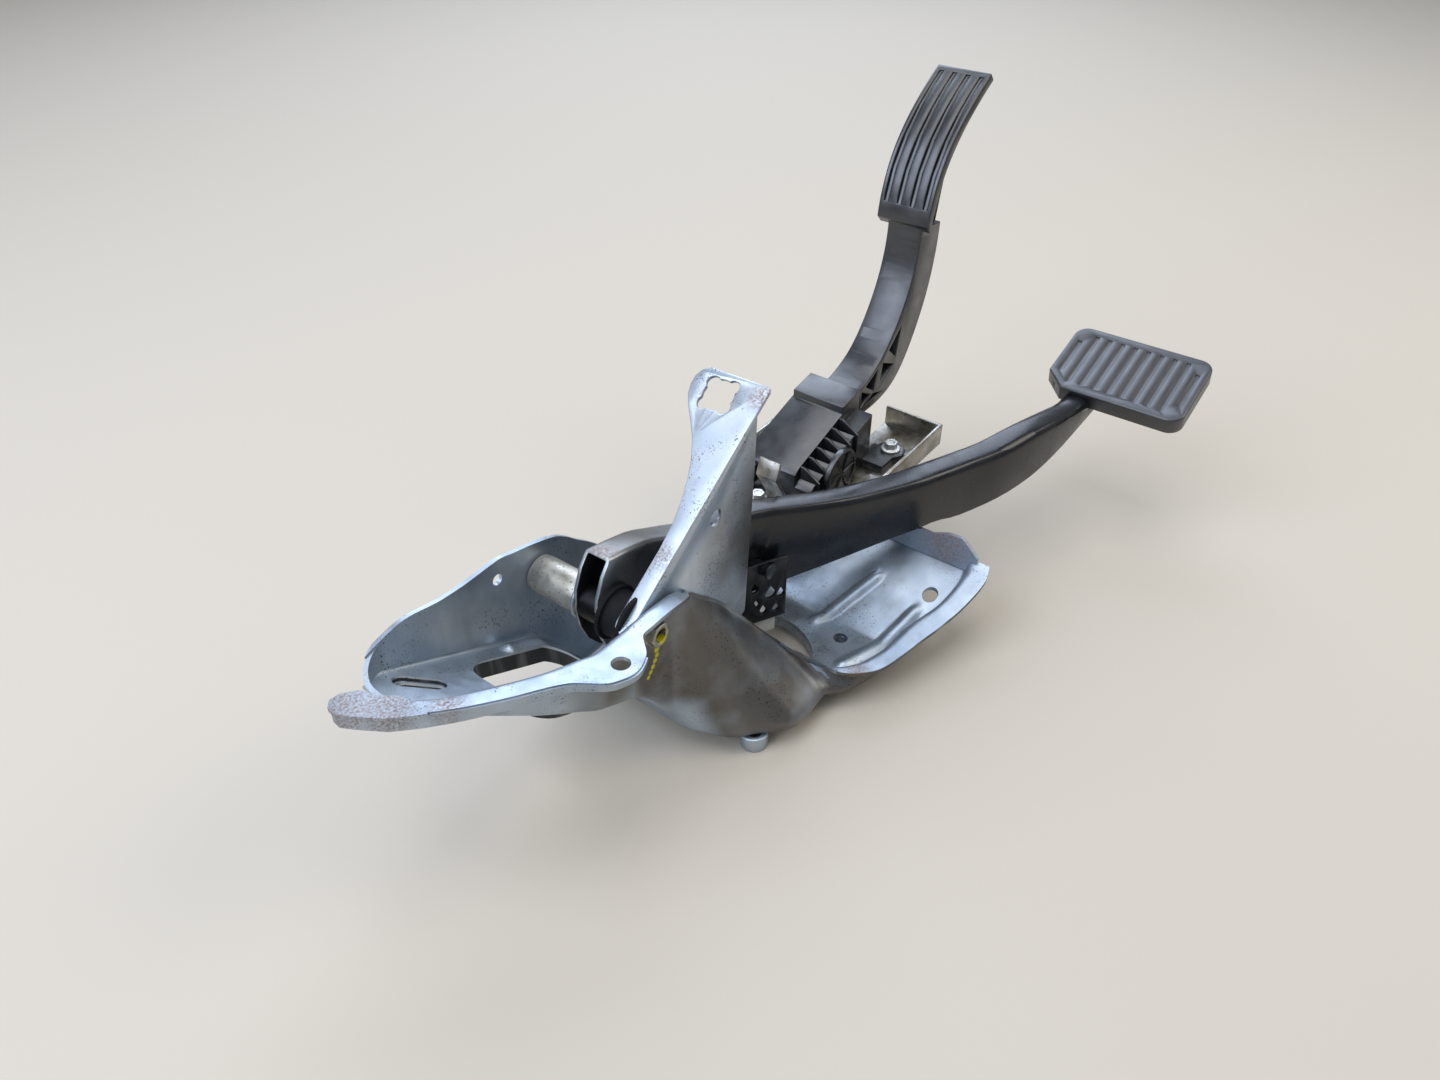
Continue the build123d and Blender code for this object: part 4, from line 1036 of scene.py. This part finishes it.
@dataclass
class BaseBracket(Assembly):
    """The bare stamping with its bosses, doubler and strut. Sizes are in millimetres.

    The wrapped corner's foot falls and its top rises by wrap_slopes for each millimetre from the rear. Lips
    and hems are as far below the floor or the flange as their top and depth say, and the cut-out's lip is
    deeper where y is above deep_from. A face that leans to the near side by over the given tilt gets the
    copy of the sheet browned as painted shade.
    """

    cutout: tuple[Pair, Pair, float] = ((-160.0, -94.0), (10.0, 66.0), 12.0)
    cutout_span: Pair = (30, 112)
    slot_span: Pair = (80, 116)
    opening: Hole = Hole((0, 0), 41.0, (5, 20), facets=72)
    stud: Hole = Hole((47, 39), 4.5, (5, 18))
    flange_hole: Hole = Hole((-130, -17), 5, (105, 125), facets=32)
    pan_hole: Hole = Hole((95, -74), 5, (20, 50), facets=32)
    wall_hole: Hole = Hole((-120, 114.5), 3.3, (74, 84), axis=1)
    near_pivot: Hole = Hole(PIVOT, 4.3, (-8, 6), axis=1)
    far_pivot: Hole = Hole(PIVOT, 4.35, (74, 84), axis=1)
    corner_r: float = 18.0
    corner_steps: int = 16
    corner_span: Pair = (98, 136)
    corner_clear: float = 3.0
    wrap_run: tuple[float, ...] = (56, 52, 47)
    wrap_start: Pair = (1.2, 0.05)
    wrap_top: float = 119.0
    wrap_below: float = 0.5
    wrap_slopes: Pair = (0.42, 0.38)
    tip: tuple[Pair, ...] = (
        (-210, 27.6), (-213, 30), (-224, 41), (-232, 54), (-235.6, 61), (-235, 66.5), (-231.5, 70),
        (-226, 69.5), (-219, 64), (-216, 54), (-210, 46))
    tip_span: Pair = (119.5, 122)
    tip_hem: tuple[Pair, ...] = (
        (-234.4, 66), (-235, 61), (-231.4, 54), (-223.4, 41), (-213, 30.6))
    tip_hem_top: float = 121.6
    hem_range: Pair = (-212.0, -118.0)
    hem_inset: float = 0.1
    hem_top: float = 0.9
    hem_depth: float = 9.0
    hem_slope: float = 0.06
    hem_sheet: float = 2.0
    hem_steps: int = 4
    end_wall: tuple[Pair, ...] = (
        (-92, 44), (-92, 56), (-80, 67), (-70, 66), (-60, 61.5), (-20, 61.5), (0, 63.5), (27.5, 62),
        (27.5, 44))
    end_wall_span: Pair = (117.5, 120)
    collar_span: Pair = (4.0, 11.5)
    lip_top: float = 1.2
    near_depth: float = 3.5
    deep_depth: float = 12.0
    deep_from: float = 44.0
    slot_depth: float = 7.5
    slot_sheet: float = 0.8
    stamped: Edge = Edge(0.3, 50.0, clamp=True)
    sliver_mm: float = 0.005
    shade_tilt: float = 0.3
    body: Body = Body.BASE
    copies: tuple[Copy, ...] = (
        Copy("upright_strut", STRUT_SHEET, "strut_steel", 0.6),
        Copy("floor_doubler", BASE_SHEET, "base_steel", 0.5),
        Copy("mount_bosses", BASE_SHEET, "base_steel", 0.7),
    )

    def extras(self) -> None:
        """The stamping itself: the channel with its holes, and the pieces folded from its edges."""
        piece = from_bmesh("base_bracket_skin", Channel().shape())
        cut(piece, self.holes())
        shape = bmesh.new()
        shape.from_mesh(piece.data)
        bmesh.ops.remove_doubles(shape, verts=shape.verts, dist=SAME_POINT)
        self.folds(shape)
        round_edges(shape, self.stamped)
        bmesh.ops.dissolve_degenerate(shape, edges=shape.edges, dist=self.sliver_mm * MM)
        bpy.data.objects.remove(piece)
        skin = outfit(from_bmesh("base_bracket_skin", shape, ROUNDED_SHARP_DEG), self.body, BASE_SHEET,
                      "base_steel", "base_bracket")
        # Faces that look to the near side get the sheet browned as painted shade.
        skin.data.materials.append(NEAR_SIDE_SHADED_SHEET.material())
        for face in skin.data.polygons:
            face.material_index = int(face.normal.y < -self.shade_tilt)
        # The lips are near black as painted shade.
        outfit(from_bmesh("cutout_lip", self.lips()), self.body, LIP_PAINTED_SHADE, "base_steel")

    def holes(self) -> Shape:
        """Everything that is cut out of the channel.

        Returns:
            The cutters, as one mesh.
        """
        cutters = bmesh.new()
        prism(cutters, rounded_box(*self.cutout), *self.cutout_span)
        x, y = self.stud.middle
        studs = [replace(self.stud, middle=(sx * x, sy * y)) for sx in (-1, 1) for sy in (-1, 1)]
        for hole in (self.opening, *studs):
            hole.drill(cutters)
        prism(cutters, rounded_box(*SLOT), *self.slot_span)
        for hole in (self.flange_hole, self.pan_hole, self.wall_hole, self.near_pivot, self.far_pivot):
            hole.drill(cutters)
        x, y = self.corner_middle()
        outer = self.corner_r + SHEET
        clear = outer + self.corner_clear
        prism(cutters, [*self.corner(outer), (x - clear, y), (x - clear, y + clear), (x, y + clear)],
              *self.corner_span)
        return cutters

    def corner_middle(self) -> Pair:
        """Finds the middle of the rear corner's turn.

        Returns:
            Its x and y.
        """
        return STATIONS[0].x + self.corner_r, FAR_WALL - self.corner_r

    def corner(self, radius: float) -> list[Pair]:
        """The quarter turn round the rear corner, in plan.

        Args:
            radius: Its radius.

        Returns:
            The points, from the far wall to the rear.
        """
        x, y = self.corner_middle()
        turns = [math.pi / 2 * (1 + step / self.corner_steps) for step in range(self.corner_steps + 1)]
        return [(x + radius * math.cos(turn), y + radius * math.sin(turn)) for turn in turns]

    def folds(self, shape: Shape) -> None:
        """Adds the wrapped rear corner, the tip with its hem, the end wall and the opening's collar.

        Args:
            shape: The channel's mesh.
        """
        x, y = self.corner_middle()
        rear = x - self.corner_r
        start_x, start_y = self.wrap_start
        plan = [(x + start_x, y + self.corner_r + start_y), *self.corner(self.corner_r)[1:]]
        plan += [(rear, spot) for spot in self.wrap_run]
        foot = STATIONS[0].under - self.wrap_below
        down, up = self.wrap_slopes
        band(shape, [(px, py, foot - (px - rear) * down, self.wrap_top + max(0.0, (px - rear) * up))
                     for px, py in plan])
        prism(shape, self.tip, *self.tip_span)
        hem = [(px, py, self.tip_hem_top - self.hem_depth, self.tip_hem_top - self.lip_top)
               for px, py in self.tip_hem]
        first, last = self.hem_range
        for row in eased(STATIONS, self.hem_steps):
            if first < row.x <= last:
                low = row.top - self.hem_depth + (row.x - rear) * self.hem_slope
                hem.append((row.x, row.flange + self.hem_inset, low, row.top - self.hem_top))
        band(shape, hem, -self.hem_sheet)
        prism(shape, self.end_wall, *self.end_wall_span, axis=0)
        ring = circle(*self.opening.middle, self.opening.radius, self.opening.facets)
        band(shape, [(px, py, *self.collar_span) for px, py in [*ring, ring[0]]])

    def lips(self) -> Shape:
        """The turned-down lips of the cut-out and the slot.

        Returns:
            Two rings of sheet.
        """
        shape = bmesh.new()
        ring = rounded_box(*self.cutout)
        band(shape, [(x, y, floor_z(x) - (self.deep_depth if y > self.deep_from else self.near_depth),
                      floor_z(x) - self.lip_top) for x, y in [*ring, ring[0]]])
        ring = rounded_box(*SLOT)
        band(shape, [(x, y, floor_z(x) - self.slot_depth, floor_z(x) - self.lip_top)
                     for x, y in [*ring, ring[0]]], self.slot_sheet)
        return shape


@dataclass
class PivotStack(Assembly):
    """The through bolt, its nut and the spacer it clamps."""

    body: Body = Body.BASE
    copies: tuple[Copy, ...] = (
        Copy("pivot_bolt", OLIVE_ZINC, "plated_steel", 0.5),
        Copy("pivot_nut", OLIVE_ZINC, "plated_steel", 0.5),
    )
    kept: tuple[tuple[str, Finish], ...] = (("pivot_sleeve", BRIGHT_ZINC),)


@dataclass
class BrakePedal(Assembly):
    """The hub tube, bare root channel, painted arm and rubber pad. Sizes are in millimetres.

    The root channel's middle plane lies at root_middle until x is root_straight, and from there falls away by
    root_curve times the square of the distance. Its clear half width is root_inner.
    """

    root_middle: float = 34.0
    root_straight: float = -60.0
    root_curve: float = 0.0035
    root_inner: float = 6.3
    down_tilt: float = 0.3
    side_tilt: float = 1.0
    sleeve: tuple[Pair, ...] = (
        (11.1, 6.0), (16.5, 6.0), (17.2, 6.7), (17.2, 8.3), (16.5, 9.0), (13.6, 9.4), (13.2, 10.2),
        (13.2, 20.4), (13.6, 21.0), (15.4, 21.4), (15.8, 22.0), (15.8, 23.6), (15.2, 24.2), (11.1, 24.2))
    welds: tuple[tuple[str, float], ...] = (("near_weld", 25.2), ("far_weld", 42.8))
    weld_r: float = 1.4
    weld_facets: int = 10
    welded_r: float = 11.5
    body: Body = Body.BRAKE
    copies: tuple[Copy, ...] = (
        Copy("hub_tube", TUBE_ZINC, "plated_steel", 0.3),
        Copy("brake_arm_root", ROOT_SHEET, "base_steel", 0.4),
        Copy("brake_arm", ARM_PAINT, "arm_paint", 0.5),
        Copy("pushrod_pin", BLACK_PHOSPHATE, "black_steel", 0.4),
        Copy("pad_plate", ARM_PAINT, "arm_paint", 0.5),
        Copy("brake_pad", PAD_RUBBER, "pad_rubber", 0.6),
    )
    kept: tuple[tuple[str, Finish], ...] = (("hub_bushes", BUSH_PLASTIC),)

    def extras(self) -> None:
        """The painted shade inside the channel, the sleeve beside the strut, and the weld beads round the
        tube.
        """
        # Flat black painted shade inside the root channel.
        self.paint_shade_inside(bpy.data.objects["brake_arm_root_skin"].data)
        # The sleeve is near black and dead matt, partly as painted shade in the dark gap between root and
        # strut.
        sleeve = from_bmesh("hub_dust_sleeve_and_shade", turned(self.sleeve, *PIVOT))
        outfit(sleeve, self.body, SLEEVE_RUBBER_AND_SHADE, "arm_paint")
        for name, y in self.welds:
            bead = circle(self.welded_r, y, self.weld_r, self.weld_facets)
            outfit(from_bmesh(name, turned(bead, *PIVOT)), self.body, ROOT_SHEET, "base_steel")

    def paint_shade_inside(self, mesh: bpy.types.Mesh) -> None:
        """Paints black shade on the root channel's inner faces, which look towards its own middle plane.

        Args:
            mesh: The channel's mesh.
        """
        mesh.materials.append(INNER_PAINTED_SHADE.material())
        for face in mesh.polygons:
            x, y, _ = [value / MM for value in face.center]
            aside = y - (self.root_middle - self.root_curve * max(0.0, x - self.root_straight) ** 2)
            under = face.normal.z < -self.down_tilt and abs(aside) < self.root_inner
            if aside * face.normal.y < -self.side_tilt or under:
                face.material_index = 1


@dataclass
class RodEnd(Assembly):
    """The perforated rod end and its clip."""

    body: Body = Body.ROD_END
    copies: tuple[Copy, ...] = (
        Copy("pushrod_clevis", BLACK_PHOSPHATE, "black_steel", 0.4),
        Copy("clevis_clip", WHITE_PLASTIC, "white_plastic", 0.6),
    )


@dataclass
class AcceleratorTray(Assembly):
    """The plated tray, its formed tab and the bolts."""

    body: Body = Body.BASE
    copies: tuple[Copy, ...] = (
        Copy("accelerator_tray", TRAY_ZINC, "tray_steel", 0.6),
        Copy("locating_tab", TRAY_ZINC, "bright_zinc", 0.4),
        Copy("tray_bolts", BRIGHT_ZINC, "bright_zinc", 0.3),
        Copy("tray_nuts", BRIGHT_ZINC, "bright_zinc", 0.3),
    )
    kept: tuple[tuple[str, Finish], ...] = (("limiter_tubes", BRIGHT_ZINC),)


@dataclass
class AcceleratorUnit(Assembly):
    """The ribbed housing with its sensor, connector, shaft and springs.

    At the pedal's limit a spring has spring_keep of its height.
    """

    body: Body = Body.BASE
    copies: tuple[Copy, ...] = (
        Copy("accelerator_housing", BLACK_NYLON, "black_nylon", 0.4),
        Copy("side_cover", BLACK_NYLON, "black_nylon", 0.4),
        Copy("connector_shell", BLACK_NYLON, "black_nylon", 0.5),
    )
    kept: tuple[tuple[str, Finish], ...] = (
        ("accelerator_shaft", BRIGHT_ZINC), ("sensor_board", BOARD), ("connector_pins", BLADE))
    spring_keep: float = 0.55

    def extras(self) -> None:
        """The two return springs, each with a mesh of its own."""
        for node in ("return_spring_outer", "return_spring_inner"):
            spring = outfit(rounded_copy(node, Edge(0.0)), self.body, SPRING_WIRE, "spring_steel", node)
            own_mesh(spring)


@dataclass
class AcceleratorPedal(Assembly):
    """The moulded accelerator arm with its bush and magnet."""

    body: Body = Body.ACCELERATOR
    copies: tuple[Copy, ...] = (
        Copy("accelerator_arm", BLACK_NYLON, "black_nylon", 0.7),
    )
    kept: tuple[tuple[str, Finish], ...] = (("arm_bush", BUSH_PLASTIC), ("magnet_ring", MAGNET))


@dataclass(frozen=True)
class Lamp:
    """A square soft lamp: its name, its place and side in metres, its power in watts and its sRGB colour."""

    name: str
    place: Triple
    size: float
    power: float
    colour: str


@dataclass
class Studio:
    """A pale floor, soft lamps and the camera at the photograph's place. Sizes are in metres."""

    camera_mm: Triple = (-401.5, -279.0, 484.0)
    look: Triple = (0.6314, 0.4715, -0.6157)
    lens: float = 27.2
    sensor: float = 36.0
    nearest: float = 0.01
    floor_colour: str = "#c2b9aa"
    floor_roughness: float = 0.9
    floor_size: float = 12.0
    sky_colour: str = "#e9eff8"
    sky_strength: float = 0.34
    lit: Triple = (0.05, 0.0, 0.08)
    lamps: tuple[Lamp, ...] = (Lamp("back_lamp", (1.5, 1.1, 1.5), 1.7, 34.0, "#dce9ff"),
                               Lamp("top_lamp", (0.0, 0.0, 1.9), 1.2, 13.0, "#f6f9ff"),
                               Lamp("side_lamp", (1.0, -1.0, 1.3), 0.9, 10.0, "#fff8ee"),
                               Lamp("front_lamp", (-1.35, 0.65, 1.35), 1.7, 38.0, "#dfeaff"))

    def build(self) -> None:
        """Makes the floor, the sky, the lamps and the camera."""
        self.floor()
        world = bpy.data.worlds.new("studio")
        world.use_nodes = True
        sky = world.node_tree.nodes["Background"]
        sky.inputs["Color"].default_value = linear(self.sky_colour)
        sky.inputs["Strength"].default_value = self.sky_strength
        bpy.context.scene.world = world
        for lamp in self.lamps:
            self.light(lamp)
        self.camera()
        bpy.context.scene.view_settings.view_transform = "Standard"

    def floor(self) -> None:
        """Makes the plain pale floor."""
        shape = bmesh.new()
        bmesh.ops.create_grid(shape, x_segments=1, y_segments=1, size=self.floor_size / 2)
        floor = from_bmesh("studio_floor", shape)
        cloth = bpy.data.materials.new("studio_floor")
        cloth.use_nodes = True
        shader = cloth.node_tree.nodes["Principled BSDF"]
        shader.inputs["Base Color"].default_value = linear(self.floor_colour)
        shader.inputs["Roughness"].default_value = self.floor_roughness
        floor.data.materials.append(cloth)

    def light(self, lamp: Lamp) -> None:
        """Adds a lamp that faces the object.

        Args:
            lamp: The lamp.
        """
        data = bpy.data.lights.new(lamp.name, "AREA")
        data.size = lamp.size
        data.energy = lamp.power
        data.color = linear(lamp.colour)[:3]
        made = bpy.data.objects.new(lamp.name, data)
        made.location = lamp.place
        made.rotation_mode = "QUATERNION"
        made.rotation_quaternion = (Vector(self.lit) - Vector(lamp.place)).to_track_quat("-Z", "Y")
        bpy.context.scene.collection.objects.link(made)

    def camera(self) -> None:
        """Makes the camera at the photograph's place."""
        made = bpy.data.objects.new("photo_camera", bpy.data.cameras.new("photo_camera"))
        made.data.lens = self.lens
        made.data.sensor_width = self.sensor
        made.data.clip_start = self.nearest
        made.location = Vector(self.camera_mm) * MM
        made.rotation_mode = "QUATERNION"
        made.rotation_quaternion = Vector(self.look).to_track_quat("-Z", "Y")
        bpy.context.scene.collection.objects.link(made)
        bpy.context.scene.camera = made


def main() -> None:
    """Builds the sub-assemblies in order, then the studio."""
    logging.basicConfig(level=logging.INFO, format="%(message)s")
    for assembly in (BaseBracket(), PivotStack(), BrakePedal(), RodEnd(), AcceleratorTray(),
                     AcceleratorUnit(), AcceleratorPedal()):
        assembly.build()
        LOG.info("built %s", type(assembly).__name__)
    Studio().build()
    bpy.context.view_layer.update()


if __name__ == "__main__":
    main()
